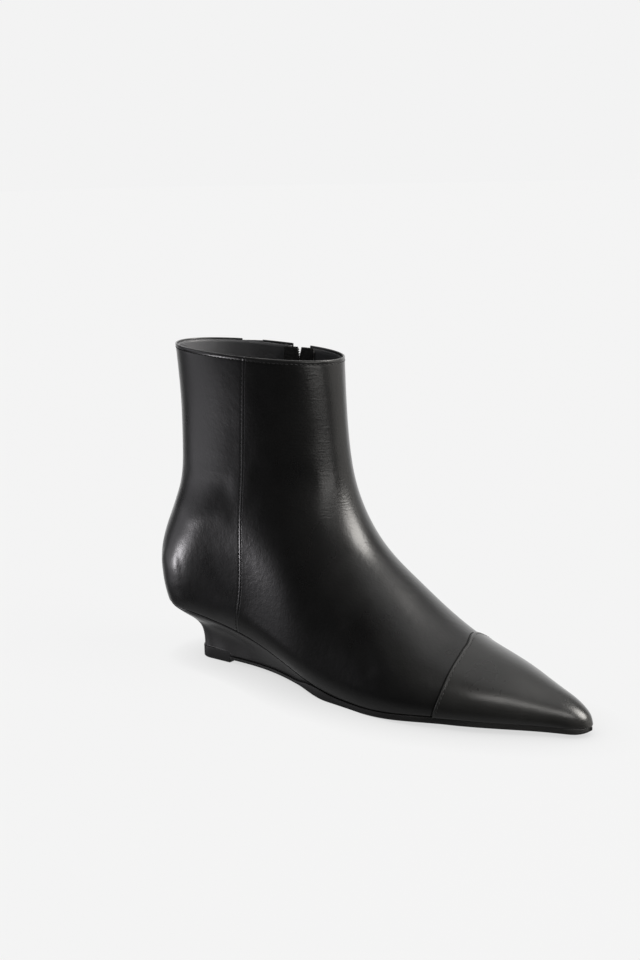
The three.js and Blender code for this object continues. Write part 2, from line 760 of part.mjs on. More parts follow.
// Wedge: from the seat's outline down to the outlines of the top piece and of the sole's waist
function makeWedge() {
  const inward = curve(wedgeRows, 'down', 'inward');
  const seatBack = backX(heelSeatHeight) + wedgeInset;
  const footBack = topPieceSetback + topPieceProud;
  const shares = stationsBetween(0, 1, soleStations, true);
  const topHalf = (x, side) => {
    const inset = wedgeInset * roundIn((x - seatBack) / seatRound);
    return Math.max(featherHalf(x, side) - inset, 0);
  };
  const footHalf = (x, side) => {
    const heel = topPieceHalf(x - topPieceProud) - topPieceProud;
    const waist = waistShare(x) * featherHalf(x, side) - topPieceProud;
    return Math.max(lerp(heel, waist, smooth((x - breastX + heelToWaist) / heelToWaist)), 0);
  };
  const floor = (x) => treadHeight(x) + waistThickness + seamGap;
  const seat = (x) => feather(x) - seamGap;
  const ringAt = (down) => {
    const back = inward(down);
    const point = (share, sign) => {
      const seatX = lerp(seatBack, wedgeFrontX, share);
      const footX = lerp(footBack, wedgeFrontX, share);
      const flank = smooth((seatX / footLength - flankStartShare) / (flankFullShare - flankStartShare));
      const move = lerp(back, lerp(down, back, flankHollowShare), flank);
      const x = lerp(seatX, footX, move);
      const seatY = sign * topHalf(seatX, sign);
      const footY = sign * footHalf(footX, sign);
      return new THREE.Vector3(x, centre(x) + lerp(seatY, footY, move), lerp(seat(x), floor(x), down));
    };
    const side = (sign) => shares.slice(1).map((share) => point(share, sign));
    return [point(0, 0), ...side(-1), point(1, 0), ...side(1).reverse()];
  };
  const rings = wedgeLevels.map(ringAt);
  const heelTop = topPieceHeight + seamGap;
  const step = breastX + topPieceBreast + seamGap;
  const pocket = box(-cutMargin, step, -ballWidth, ballWidth, -cutMargin, heelTop);
  return loft(rings).subtract(pocket);
}

// Insole: fills the inside's floor, clear of the upper's wall
function makeInsole() {
  const slabSteps = 24;
  const low = -cutMargin;
  const high = footLength - insoleToeRoom;
  const xs = Array.from({ length: slabSteps + 1 }, (_, i) => lerp(low, high, i / slabSteps));
  const topLine = xs.map((x) => [x, feather(x) + insoleThickness]).reverse();
  const floorLine = xs.map((x) => [x, feather(x) - 2 * soleThickness]);
  const slab = sidePrism([...floorLine, ...topLine], -ballWidth, ballWidth);
  return filledLast(-upperWall - seamGap).intersect(slab);
}

const calf = paint(0x17171a, 0.42);
const capCalf = paint(0x1d1d20, 0.4);
const wedgeCalf = paint(0x1b1b1d, 0.45);
const sock = paint(0x222224, 0.6);
const rubber = paint(0x101011, 0.7);
const elastic = paint(0x141416, 0.85);
const tape = paint(0x111113, 0.9);
const coil = paint(0x0c0c0d, 0.45);
const blackMetal = paint(0x101012, 0.35, 0.6);
const silverMetal = paint(0xc9cacc, 0.3, 0.9);

const boot = new THREE.Group();
boot.name = 'wedge_ankle_boot';
boot.position.x = -(topPieceSetback + topPieceLength / 2);

boot.add(piece('upper', makeUpper(), calf));
boot.add(piece('toe_cap', makeToeCap(), capCalf));
boot.add(piece('gore', makeGore(), elastic));
boot.add(piece('insole', makeInsole(), sock));
boot.add(piece('wedge', makeWedge(), wedgeCalf));
boot.add(piece('outsole', makeOutsole(), rubber));
boot.add(piece('top_piece', makeTopPiece(), rubber));
boot.add(piece('zip_tape_front', makeTape(1), tape));
boot.add(piece('zip_tape_back', makeTape(-1), tape));
boot.add(piece('zip_chain', makeChain(), coil));

const sliderFrame = zipFrame(sliderHeight);
sliderFrame.add(piece('zip_slider', makeSlider(), blackMetal));
const pullFrame = new THREE.Group();
pullFrame.position.y = pivotHeight;
pullFrame.rotation.x = zipLean(sliderHeight);
pullFrame.add(piece('zip_pull', makePull(), blackMetal));
sliderFrame.add(pullFrame);
boot.add(sliderFrame);

const stopHeight = slotTopHeight - tapeTopInset - stopLength / 2;
for (const [name, side] of [['zip_stop_front', 1], ['zip_stop_back', -1]]) {
  const frame = zipFrame(stopHeight);
  const stop = piece(name, makeStop(), silverMetal);
  stop.position.x = side * (chainWidth / 2 + seamGap + stopWidth / 2);
  frame.add(stop);
  boot.add(frame);
}

export default boot;
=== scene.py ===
"""Wedge ankle boot, right foot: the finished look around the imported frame.

The forms are worked out in millimetres in foot coordinates, with x counted from the rearmost point of
the counter, and are written in metres in the frame's own coordinates.
"""
import math

import bpy
import numpy as np
from mathutils import Matrix, Vector


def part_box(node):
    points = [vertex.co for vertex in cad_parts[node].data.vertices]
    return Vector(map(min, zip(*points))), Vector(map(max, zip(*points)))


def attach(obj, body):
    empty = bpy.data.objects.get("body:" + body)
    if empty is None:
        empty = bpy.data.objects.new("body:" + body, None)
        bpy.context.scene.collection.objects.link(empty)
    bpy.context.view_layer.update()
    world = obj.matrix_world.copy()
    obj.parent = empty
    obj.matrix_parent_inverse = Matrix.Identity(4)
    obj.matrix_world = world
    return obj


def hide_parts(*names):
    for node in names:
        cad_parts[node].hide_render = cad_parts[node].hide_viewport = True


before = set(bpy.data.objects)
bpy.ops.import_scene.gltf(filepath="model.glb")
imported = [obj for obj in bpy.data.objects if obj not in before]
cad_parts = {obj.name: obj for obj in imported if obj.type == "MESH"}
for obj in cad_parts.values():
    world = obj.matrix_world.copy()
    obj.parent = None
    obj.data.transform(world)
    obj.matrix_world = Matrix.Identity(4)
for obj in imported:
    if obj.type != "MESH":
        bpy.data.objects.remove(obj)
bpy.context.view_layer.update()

MM = 0.001
TINY = 1e-12

# Driving sizes of the boot, in millimetres
FOOT_LENGTH = 281.0
BALL_WIDTH = 76.5
COLLAR_WIDTH = 60.4
COLLAR_FRONT = 184.0
COLLAR_BACK = 189.0
CROWN_DEPTH = 60.0
COUNTER_DEPTH = 58.0
FEATHER_TUCK = 5.8
FEATHER_BULGE = 17.4
HEEL_SEAT = 35.0
SOLE = 3.4
TOE_SPRING = 3.1
SOLE_LIP = 0.5
WAIST_SOLE = 2.0
WAIST_LIFT = 2.7
WEDGE_INSET = 0.9
INSOLE = 2.5
INSOLE_TOE_ROOM = 13.0
ORIGIN_X = -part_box("upper")[0].x / MM

TOP_SETBACK = 26.7
TOP_LENGTH = 26.9
TOP_WIDTH = 31.8
TOP_HEIGHT = 7.2
TOP_ROUND = 11.5
TOP_BREAST = 1.6
TOP_PROUD = 0.4

CAP_LENGTH = 69.0
CAP_LIFT = 0.3
CAP_LEATHER = 1.0
CAP_TIP_THIN = 0.4
CAP_TIP_LENGTH = 14.0
CAP_SHADOW = 0.75
CAP_SLANT = 4.8
CAP_SLANT_START, CAP_SLANT_END = -9.0, 10.0
CAP_STITCH = 1.35
CAP_FOLD = 0.26

CHAIN_WIDTH = 4.8
CHAIN_RECESS = 0.6
SLOT_HALF = 3.8
SLOT_FLARE = 3.0
SLOT_FLARE_HEIGHT = 12.0
SLOT_BOTTOM = 40.0
TAPE_WIDTH = 9.0
TAPE_DEPTH = 2.1
TAPE = 0.7
SLIDER_DROP = 13.14
SLIDER_LENGTH = 9.0

GORE_WIDTH = 12.6
GORE_LENGTH = 36.0
GORE_ALONG = 43.0
GORE_RECESS = 0.5
GORE = 1.0

LEATHER = 1.0
LINING_NEAR = 1.08
LINING_FAR = 1.78
GAP = 0.3
FEATHER_GAP = 0.7
WEDGE_TAPER = 24.0

# Tables of the last: shares of the sizes above, as in the part's source
RIDGE = (  # along the foot, rise to the collar
    (1.0, 0.0), (0.9945, 0.024), (0.9756, 0.051), (0.925, 0.0865), (0.852, 0.133), (0.77, 0.18),
    (0.691, 0.247), (0.614, 0.337), (0.536, 0.4415), (0.4844, 0.583), (0.4652, 0.738), (0.458, 0.877),
    (0.453, 1.0),
)
BACK = (  # rise over the heel seat, along the foot
    (0.0, 0.0144), (0.0735, 0.0068), (0.174, 0.0), (0.305, 0.016), (0.451, 0.045), (0.591, 0.0505),
    (0.783, 0.051), (1.0, 0.047),
)
FEATHER = (  # along the foot, share of the seat, share of the toe spring
    (0.0144, 1.0, 0.0), (0.0676, 0.99, 0.0), (0.18, 0.865, 0.0), (0.293, 0.607, 0.0), (0.406, 0.277, 0.0),
    (0.5, 0.045, 0.0), (0.594, 0.0, 0.0), (0.707, 0.0, 0.71), (0.857, 0.0, 1.0), (1.0, 0.0, 0.65),
)
PLAN = (  # along the foot, lateral half width, medial half width, shift of the centre line
    (0.0, 0.465, 0.446, 0.0), (0.143, 0.448, 0.434, 0.0), (0.293, 0.423, 0.411, -0.004),
    (0.425, 0.475, 0.445, -0.012), (0.5565, 0.496, 0.463, -0.018), (0.669, 0.519, 0.478, -0.01),
    (0.744, 0.466, 0.436, 0.002), (0.838, 0.351, 0.341, 0.016), (0.932, 0.185, 0.187, 0.03),
    (1.0, 0.085, 0.086, 0.038),
)
EDGE = (  # along the foot, pull in of the feather edge, height of that hollow
    (0.0, 0.5, 0.89), (0.22, 0.75, 1.0), (0.41, 1.0, 1.0), (0.56, 0.58, 0.82), (0.75, 0.33, 0.6),
    (1.0, 0.17, 0.28),
)
CROWN = (  # along the ridge line, depth of the crown
    (0.0, 0.13), (0.06, 0.193), (0.15, 0.322), (0.3, 0.58), (0.42, 0.836), (0.55, 1.0), (0.7, 1.0),
    (1.0, 0.965),
)
SHAFT = (  # rise, half width, rounding of the back
    (0.19, 1.08, 0.6), (0.315, 1.07, 0.7), (0.472, 1.006, 0.84), (0.63, 0.917, 0.93), (0.787, 0.885, 0.98),
    (1.0, 1.0, 1.0),
)
SHAFT_START, SHAFT_FULL = 0.315, 0.682
ROUNDNESS = 2.3
RING_TURN = 0.45
HEEL_PACE = 1.15
WAIST = (  # along the foot, share of the feather edge's half width
    (0.1, 0.56), (0.2, 0.575), (0.257, 0.615), (0.295, 0.66), (0.336, 0.725), (0.374, 0.8), (0.418, 0.9),
    (0.463, 0.98), (0.51, 1.0),
)
WAIST_END, LIFT_END, FLAT_START, WEDGE_FRONT = 0.51, 0.41, 0.5, 0.487
WEDGE = (  # way down the wedge's back, way in to the top piece
    (0.0, 0.0), (0.07, 0.09), (0.19, 0.34), (0.325, 0.66), (0.45, 0.86), (0.61, 0.965), (0.8, 1.0),
    (1.0, 1.0),
)
FLANK_START, FLANK_FULL, FLANK_HOLLOW = 0.16, 0.3, 0.35
SEAT_ROUND = 8.0
HEEL_TO_WAIST = 14.0
TIP_ROUND = 6.0
CAP_LIP = 0.45
NIB_LENGTH = 7.0
NIB_RISE = 2.0
ZIP = ((0.15, 0.309), (0.3, 0.299), (0.5, 0.287), (0.75, 0.281), (1.0, 0.279))  # rise, along the foot
CAP_EDGE = (  # height in millimetres, ahead of the cap's length in millimetres
    (3.0, -3.6), (6.9, -2.6), (12.0, -0.8), (17.0, 0.7), (26.0, 2.1), (32.0, 2.5), (35.0, 2.4), (38.2, 1.6),
    (41.0, 1.2),
)
SIDE_SEAM = (  # height in millimetres, place along the foot in millimetres
    (3.0, 66.0), (24.9, 72.6), (46.9, 78.3), (77.2, 80.4), (105.4, 79.9), (132.5, 79.8), (161.0, 81.9),
    (185.8, 85.7),
)


def smooth(value):
    value = np.clip(value, 0, 1)
    return value * value * (3 - 2 * value)


def lerp(a, b, share):
    return a + (b - a) * share


def curve(xs, ys):
    """Natural cubic spline through the points, straight past its ends."""
    xs, ys = np.asarray(xs, float), np.asarray(ys, float)
    count, step = len(xs), np.diff(xs)
    slopes = np.diff(ys) / step
    matrix = np.eye(count)
    right = np.zeros(count)
    for i in range(1, count - 1):
        matrix[i, i - 1:i + 2] = step[i - 1], 2 * (step[i - 1] + step[i]), step[i]
        right[i] = 6 * (slopes[i] - slopes[i - 1])
    bend = np.linalg.solve(matrix, right)
    start = slopes[0] - step[0] * bend[1] / 6
    end = slopes[-1] + step[-1] * bend[-2] / 6

    def value(x):
        x = np.asarray(x, float)
        i = np.clip(np.searchsorted(xs, x) - 1, 0, count - 2)
        inside = np.clip(x, xs[0], xs[-1])
        a = (xs[i + 1] - inside) / step[i]
        b = 1 - a
        bow = ((a**3 - a) * bend[i] + (b**3 - b) * bend[i + 1]) * step[i] ** 2 / 6
        outside = start * np.minimum(x - xs[0], 0) + end * np.maximum(x - xs[-1], 0)
        return a * ys[i] + b * ys[i + 1] + bow + outside

    return value


def column(rows, index, scale=1.0, size=1.0):
    """Curve through one column of a table over its first column."""
    rows = np.array(rows, float)
    return curve(rows[:, 0] * scale, rows[:, index] * size)


# The last's form
seat_share = column(FEATHER, 1, FOOT_LENGTH)
spring_share = column(FEATHER, 2, FOOT_LENGTH)
lateral_plan = column(PLAN, 1, FOOT_LENGTH, BALL_WIDTH)
medial_plan = column(PLAN, 2, FOOT_LENGTH, BALL_WIDTH)
centre = column(PLAN, 3, FOOT_LENGTH, BALL_WIDTH)
tuck_size = column(EDGE, 1, FOOT_LENGTH, FEATHER_TUCK)
bulge_size = column(EDGE, 2, FOOT_LENGTH, FEATHER_BULGE)
crown_size = column(CROWN, 1, 1.0, CROWN_DEPTH)
shaft_half = column(SHAFT, 1, COLLAR_FRONT, COLLAR_WIDTH / 2)
counter_size = column(SHAFT, 2, COLLAR_FRONT, COUNTER_DEPTH)
waist_share = column(WAIST, 1, FOOT_LENGTH)
zip_x = column(ZIP, 1, COLLAR_FRONT, FOOT_LENGTH)
side_seam_x = column(SIDE_SEAM, 1)
cap_edge_ahead = column(CAP_EDGE, 1)


def spring(x):
    return TOE_SPRING * np.maximum(spring_share(x), 0)


def feather(x):
    return SOLE + spring(x) + (HEEL_SEAT - SOLE) * np.maximum(seat_share(x), 0)


ridge_rows = np.array(RIDGE)
toe_feather = float(feather(FOOT_LENGTH))
ridge_xs = ridge_rows[:, 0] * FOOT_LENGTH
ridge_zs = toe_feather + ridge_rows[:, 1] * (COLLAR_FRONT - toe_feather)
ridge_reach = np.concatenate([[0], np.cumsum(np.hypot(np.diff(ridge_xs), np.diff(ridge_zs)))])
ridge_reach /= ridge_reach[-1]
ridge_x = curve(ridge_reach, ridge_xs)
ridge_z = curve(ridge_reach, ridge_zs)
RIDGE_STEPS = 360
ridge_shares = np.linspace(0, 1, RIDGE_STEPS + 1)
ridge_samples = np.stack([ridge_x(ridge_shares), ridge_z(ridge_shares)], -1)
back_rows = np.array(BACK)
back_x = curve(HEEL_SEAT + back_rows[:, 0] * (COLLAR_BACK - HEEL_SEAT), back_rows[:, 1] * FOOT_LENGTH)


def round_in(share):
    """Quarter-round law: 0 at the edge of a form, 1 from its full depth inward."""
    return np.sqrt(1 - (1 - np.clip(share, 0, 1)) ** ROUNDNESS)


def ridge_distance(x, z):
    """Distance from a side-view point to the ridge line, and where along that line it lies."""
    x, z = np.broadcast_arrays(x, z)
    points = np.stack([x.ravel(), z.ravel()], -1)
    distance = np.empty(len(points))
    reach = np.empty(len(points))
    chunk = 8000
    for i in range(0, len(points), chunk):
        part = points[i:i + chunk]
        square = ((part[:, None] - ridge_samples[None]) ** 2).sum(-1)
        k = np.clip(square.argmin(1), 1, RIDGE_STEPS - 1)
        row = np.arange(len(k))
        low, mid, high = square[row, k - 1], square[row, k], square[row, k + 1]
        slip = np.clip(0.5 * (low - high) / (low - 2 * mid + high + TINY), -1, 1)
        share = (k + slip) / RIDGE_STEPS
        reach[i:i + chunk] = share
        distance[i:i + chunk] = np.hypot(ridge_x(share) - part[:, 0], ridge_z(share) - part[:, 1])
    return distance.reshape(x.shape), reach.reshape(x.shape)


def half_breadth(x, z, side):
    """Half breadth of the boot at a side-view point; side is -1 for lateral and 1 for medial."""
    distance, reach = ridge_distance(x, z)
    foot = np.where(np.asarray(side) < 0, lateral_plan(x), medial_plan(x))
    upward = smooth((z / COLLAR_FRONT - SHAFT_START) / (SHAFT_FULL - SHAFT_START))
    width = lerp(foot, shaft_half(z), upward)
    height = np.maximum(z - feather(x), 0)
    hollow = np.clip(1 - height / bulge_size(x), 0, 1) ** 2
    width = width - tuck_size(x) * hollow
    return width * round_in(distance / crown_size(reach)) * round_in((x - back_x(z)) / counter_size(z))


def from_centre(x, aside, z):
    """Point at a distance aside from the centre line, plus on the medial side."""
    return np.stack([x, centre(x) + aside, z], -1)


def flat_point(x, z, side):
    """Point of the outer surface at a side-view place."""
    return from_centre(x, side * half_breadth(x, z, side), z)


def last_point(level, turn):
    """Point of the outer surface. Level is 0 at the feather edge and 1 at the collar; turn runs from the
    back (0) round the lateral side to the front (0.5) and back along the medial side (1)."""
    level, turn = np.broadcast_arrays(np.asarray(level, float), np.asarray(turn, float))
    turn = turn % 1.0
    side = np.where(turn < 0.5, -1.0, 1.0)
    forward = (1 - np.cos(2 * np.pi * turn)) / 2
    front_x, front_z = ridge_x(level), ridge_z(level)
    heel_z = HEEL_SEAT + (COLLAR_BACK - HEEL_SEAT) * level**HEEL_PACE
    heel_x = back_x(heel_z)
    x = lerp(heel_x, front_x, forward)
    low = feather(x) + lerp(heel_z - feather(heel_x), front_z - feather(front_x), forward)
    z = lerp(low, lerp(heel_z, front_z, forward), smooth((level - RING_TURN) / (1 - RING_TURN)))
    return flat_point(x, z, side)


def unit(vectors):
    return vectors / np.maximum(np.linalg.norm(vectors, axis=-1, keepdims=True), TINY)


def last_normal(level, turn):
    step = 0.002
    along = last_point(level, turn + step) - last_point(level, turn - step)
    up = last_point(np.minimum(level + step, 1), turn) - last_point(np.maximum(level - step, 0), turn)
    return unit(np.cross(along, up))


def skin(x, z, side, lift=0.0):
    """Point of the surface at a side-view place, lifted along its normal, and that normal."""
    x, z, side = np.broadcast_arrays(np.asarray(x, float), np.asarray(z, float), np.asarray(side, float))
    step = 0.25
    ahead = flat_point(x + step, z, side) - flat_point(x - step, z, side)
    upward = flat_point(x, z + step, side) - flat_point(x, z - step, side)
    normal = unit(np.cross(ahead, upward)) * -side[..., None]
    return flat_point(x, z, side) + normal * np.asarray(lift)[..., None], normal


def collar_height(x):
    share = (x - back_x(COLLAR_BACK)) / (ridge_x(1.0) - back_x(COLLAR_BACK))
    return lerp(COLLAR_BACK, COLLAR_FRONT, share)


SLOT_TOP = float(collar_height(zip_x(COLLAR_FRONT)))
SLIDER_HEIGHT = SLOT_TOP - SLIDER_DROP
CHAIN_TOP = SLIDER_HEIGHT + SLIDER_LENGTH / 2


# Mesh making
def to_frame(points):
    return (np.asarray(points, float) - (ORIGIN_X, 0, 0)) * MM


def build_object(name, points, faces, attributes=None):
    """Object from millimetre points and index faces; vertices that no face uses are dropped."""
    faces = [np.asarray(part, int) for part in faces if len(part)]
    used = np.unique(np.concatenate([part.ravel() for part in faces]))
    place = np.full(len(points), -1)
    place[used] = np.arange(len(used))
    mesh = bpy.data.meshes.new(name)
    polygons = [row for part in faces for row in place[part].tolist()]
    mesh.from_pydata(to_frame(points)[used].tolist(), [], polygons)
    mesh.polygons.foreach_set("use_smooth", np.ones(len(mesh.polygons), bool))
    for key, values in (attributes or {}).items():
        layer = mesh.attributes.new(key, "FLOAT", "POINT")
        layer.data.foreach_set("value", np.asarray(values, np.float32)[used])
    mesh.update()
    made = bpy.data.objects.new(name, mesh)
    bpy.context.scene.collection.objects.link(made)
    return made


def grid_quads(ids):
    return np.stack([ids[:-1, :-1], ids[:-1, 1:], ids[1:, 1:], ids[1:, :-1]], -1)


def shell_object(name, outer, inner, ids=None, keep=None, attributes=None):
    """Closed shell between two grids of points. ids may name the same vertex twice, and keep says which
    faces of the grid are there."""
    rows, columns = outer.shape[:2]
    count = rows * columns
    ids = np.arange(count).reshape(rows, columns) if ids is None else ids
    quads = grid_quads(ids)
    quads = quads.reshape(-1, 4) if keep is None else quads[keep]
    starts = quads.ravel()
    ends = np.roll(quads, -1, 1).ravel()
    rim = ~np.isin(starts * count + ends, ends * count + starts)
    a, b = starts[rim], ends[rim]
    bridge = np.stack([b, a, a + count, b + count], -1)
    points = np.concatenate([outer.reshape(-1, 3), inner.reshape(-1, 3)])
    both = {key: np.concatenate([value.ravel()] * 2) for key, value in (attributes or {}).items()}
    return build_object(name, points, [quads, quads[:, ::-1] + count, bridge], both)


def ring_object(name, rings):
    """Closed body through stacked rings, lowest first. Each ring has mirrored pairs of points, and its
    first and middle points lie on the ends of the centre line."""
    rings = np.asarray(rings)
    layers, count = rings.shape[:2]
    ids = np.arange(layers * count).reshape(layers, count)
    quads = grid_quads(np.concatenate([ids, ids[:, :1]], 1)).reshape(-1, 4)
    half = count // 2
    i = np.arange(1, half - 1)
    caps = []
    for start, up in ((0, False), ((layers - 1) * count, True)):
        strip = np.stack([i, i + 1, count - i - 1, count - i], -1) + start
        ends = np.array([[0, 1, count - 1], [half - 1, half, half + 1]]) + start
        caps += [strip, ends] if up else [strip[:, ::-1], ends[:, ::-1]]
    return build_object(name, rings.reshape(-1, 3), [quads, *caps])


# Levels of the rings: close together under the collar, over the feather edge and round the zip's lower end
COLLAR_STEPS = (0, 0.12, 0.28, 0.48, 0.72, 1.0, 1.35, 1.75, 2.15, 2.55, 3.0, 3.6, 4.3)
FEATHER_STEPS = (0, 0.15, 0.35, 0.6, 0.9, 1.3, 1.8, 2.4)
ZIP_END_STEPS = (-0.4, 0, 0.15, 0.5, 1.1, 1.9, 2.9, 3.8)
ZIP_END_LEVELS = (0.02, 0.3)
COLLAR_RISE = 200.0
FEATHER_RISE = 220.0
LEVEL_COUNT = 188


def level_rows():
    top = 1 - np.array(COLLAR_STEPS) / COLLAR_RISE
    bottom = np.array(FEATHER_STEPS) / FEATHER_RISE
    middle = np.linspace(bottom[-1], top[-1], LEVEL_COUNT)[1:-1]
    probe = np.linspace(*ZIP_END_LEVELS, 120)
    around = np.interp(SLOT_BOTTOM + np.array(ZIP_END_STEPS), zip_line_height(probe), probe)
    return np.unique(np.concatenate([bottom, middle, around, top]).round(7))


SEARCH = (0.06, 0.44)
SEARCH_STEPS = 160
FINER_STEPS = 9


def line_turns(levels, line, side):
    """Turn at which each ring crosses a side-view line, given as place along the foot over height."""
    turns = np.linspace(*SEARCH, SEARCH_STEPS)
    turns = turns if side < 0 else 1 - turns
    finer = np.linspace(-1, 1, FINER_STEPS)[None] * (1 if side < 0 else -1)
    for _ in range(3):
        points = last_point(levels[:, None], turns)
        off = points[..., 0] - line(points[..., 2])
        k = np.clip((off > 0).argmax(1), 1, off.shape[1] - 1)
        row = np.arange(len(levels))
        grid = np.broadcast_to(turns, off.shape)
        low, high = off[row, k - 1], off[row, k]
        share = -low / (high - low)
        found = lerp(grid[row, k - 1], grid[row, k], share)
        reach = np.abs(grid[row, k] - grid[row, k - 1])
        turns = found[:, None] + finer * reach[:, None]
    return found


def zip_line_height(levels):
    turns = line_turns(levels, zip_x, 1)
    return last_point(levels, turns)[:, 2]


def slot_half(z):
    """Half width of the opening beside the zip: flared at the collar, round at its lower end."""
    flare = SLOT_FLARE * smooth((z - SLOT_TOP + SLOT_FLARE_HEIGHT) / SLOT_FLARE_HEIGHT)
    low = np.clip((SLOT_BOTTOM + SLOT_HALF - z) / SLOT_HALF, 0, 1)
    return (SLOT_HALF + flare) * np.sqrt(1 - low**2)


SEAM_HALF = 0.03
EDGE_STEPS = (0, 0.06, 0.16, 0.3, 0.5, 0.8, 1.2, 1.7, 2.2, 2.8, 3.6)
STRIP_STEPS = 420


def strip_turns(levels, start, end, count):
    """Columns between two lines of turns, close together beside both, and their distance from each."""
    fine = lerp(start[:, None], end[:, None], np.linspace(0, 1, STRIP_STEPS))
    points = last_point(levels[:, None], fine)
    length = np.linalg.norm(np.diff(points, axis=1), axis=-1)
    length = np.concatenate([np.zeros((len(levels), 1)), np.cumsum(length, 1)], 1)
    total = length[:, -1:]
    near = np.array(EDGE_STEPS)[None]
    middle = lerp(near[:, -1:], total - near[:, -1:], np.linspace(0, 1, count)[None, 1:-1])
    wanted = np.concatenate([near + 0 * total, middle, total - near[:, ::-1]], 1)
    turns = np.stack([np.interp(w, s, t) for w, s, t in zip(wanted, length, fine)])
    return turns, wanted, total - wanted


FOLD = 0.46


def fold_drop(distance, strength=1.0, radius=FOLD):
    """How far a folded edge's surface has turned in, by distance from the edge."""
    inside = np.clip(radius - distance, 0, radius)
    return strength * (radius - np.sqrt(radius**2 - inside**2))


def bell(value, width):
    return np.exp(-((value / width) ** 2))


def path_distance(x, z, path):
    """Distance from side-view points to a drawn line, and how far along it they lie, 0 to 1."""
    path = np.array(path, float)
    lengths = np.linalg.norm(np.diff(path, axis=0), axis=1)
    total = lengths.sum()
    best = np.full(x.shape, 1e9)
    where = np.zeros(x.shape)
    before = 0.0
    for (ax, az), (bx, bz), length in zip(path[:-1], path[1:], lengths):
        share = np.clip(((x - ax) * (bx - ax) + (z - az) * (bz - az)) / length**2, 0, 1)
        distance = np.hypot(x - lerp(ax, bx, share), z - lerp(az, bz, share))
        nearer = distance < best
        best = np.where(nearer, distance, best)
        where = np.where(nearer, (before + share * length) / total, where)
        before += length
    return best, where


# Creases, given one by one: side, depth (minus is a trough) and half width in millimetres, then the line
CREASES = (
    (1, -0.5, 1.6, ((39.0, 188.0), (40.8, 172.0), (43.5, 153.0))),
    (1, 0.35, 3.0, ((36.0, 186.0), (38.5, 168.0), (41.0, 152.0))),
    (1, 0.35, 5.0, ((36.0, 143.0), (45.0, 141.5), (54.0, 144.0))),
    (1, -0.6, 7.0, ((28.0, 112.0), (44.0, 104.0), (62.0, 106.0))),
    (1, 0.45, 7.0, ((24.0, 96.0), (44.0, 90.0), (62.0, 93.0))),
    (1, -0.25, 8.0, ((92.0, 132.0), (104.0, 118.0), (122.0, 104.0))),
    (1, 0.2, 7.0, ((96.0, 118.0), (110.0, 104.0), (128.0, 92.0))),
    (-1, -0.25, 7.0, ((84.0, 122.0), (102.0, 116.0), (124.0, 122.0))),
    (-1, 0.2, 6.0, ((84.0, 134.0), (104.0, 129.0), (124.0, 134.0))),
    (-1, 0.2, 7.0, ((88.0, 108.0), (108.0, 102.0), (130.0, 106.0))),
    (-1, -0.5, 7.0, ((20.0, 116.0), (44.0, 108.0), (74.0, 112.0))),
    (-1, 0.5, 7.0, ((14.0, 98.0), (42.0, 92.0), (74.0, 96.0))),
    (-1, 0.5, 8.0, ((14.0, 66.0), (22.0, 60.0), (34.0, 62.0))),
    (-1, -0.4, 6.0, ((22.0, 44.0), (42.0, 46.0), (62.0, 40.0))),
    (-1, -0.4, 5.0, ((150.0, 52.0), (166.0, 38.0), (176.0, 22.0))),
    (-1, 0.35, 5.0, ((160.0, 54.0), (178.0, 38.0), (188.0, 22.0))),
)


CREASE_FADE, CREASE_END = 5, 0.15


def crease_height(x, z, side):
    height = np.zeros(x.shape)
    for crease_side, depth, width, path in CREASES:
        distance, where = path_distance(x, z, path)
        fade = smooth(np.minimum(where, 1 - where) * CREASE_FADE + CREASE_END)
        height += np.where(side == crease_side, depth * bell(distance, width) * fade, 0)
    return height


# Reliefs along an edge: height (minus is a stitched channel), distance from the edge, half width
COLLAR_STITCH = 2.3
COLLAR_FORMS = ((-0.16, COLLAR_STITCH, 0.45), (0.12, 1.2, 0.7))
SEAM_FORMS = ((0.05, 1.0, 0.6), (-0.09, 2.0, 0.35))
CAP_FORMS = ((0.05, 1.0, 0.6), (-0.09, CAP_STITCH, 0.35))


def edge_relief(distance, forms):
    return sum(height * bell(distance - at, width) for height, at, width in forms)


# Zone of the fine wrinkles on the lateral front of the shaft, in the side view
WRINKLE_PATH = ((112, 168), (108, 148), (118, 128), (132, 108))
WRINKLE_REACH = 22.0
FEATHER_FOLD = 1.2
COLLAR_RUB_AND_SHEEN, FEATHER_RUB_AND_SHEEN, CAP_RUB_AND_SHEEN = 0.8, 0.6, 0.6  # half widths of the edges lightened as rubbed wear and as painted highlight
FEATHER_RUB_AND_SHEEN_AT = 0.7


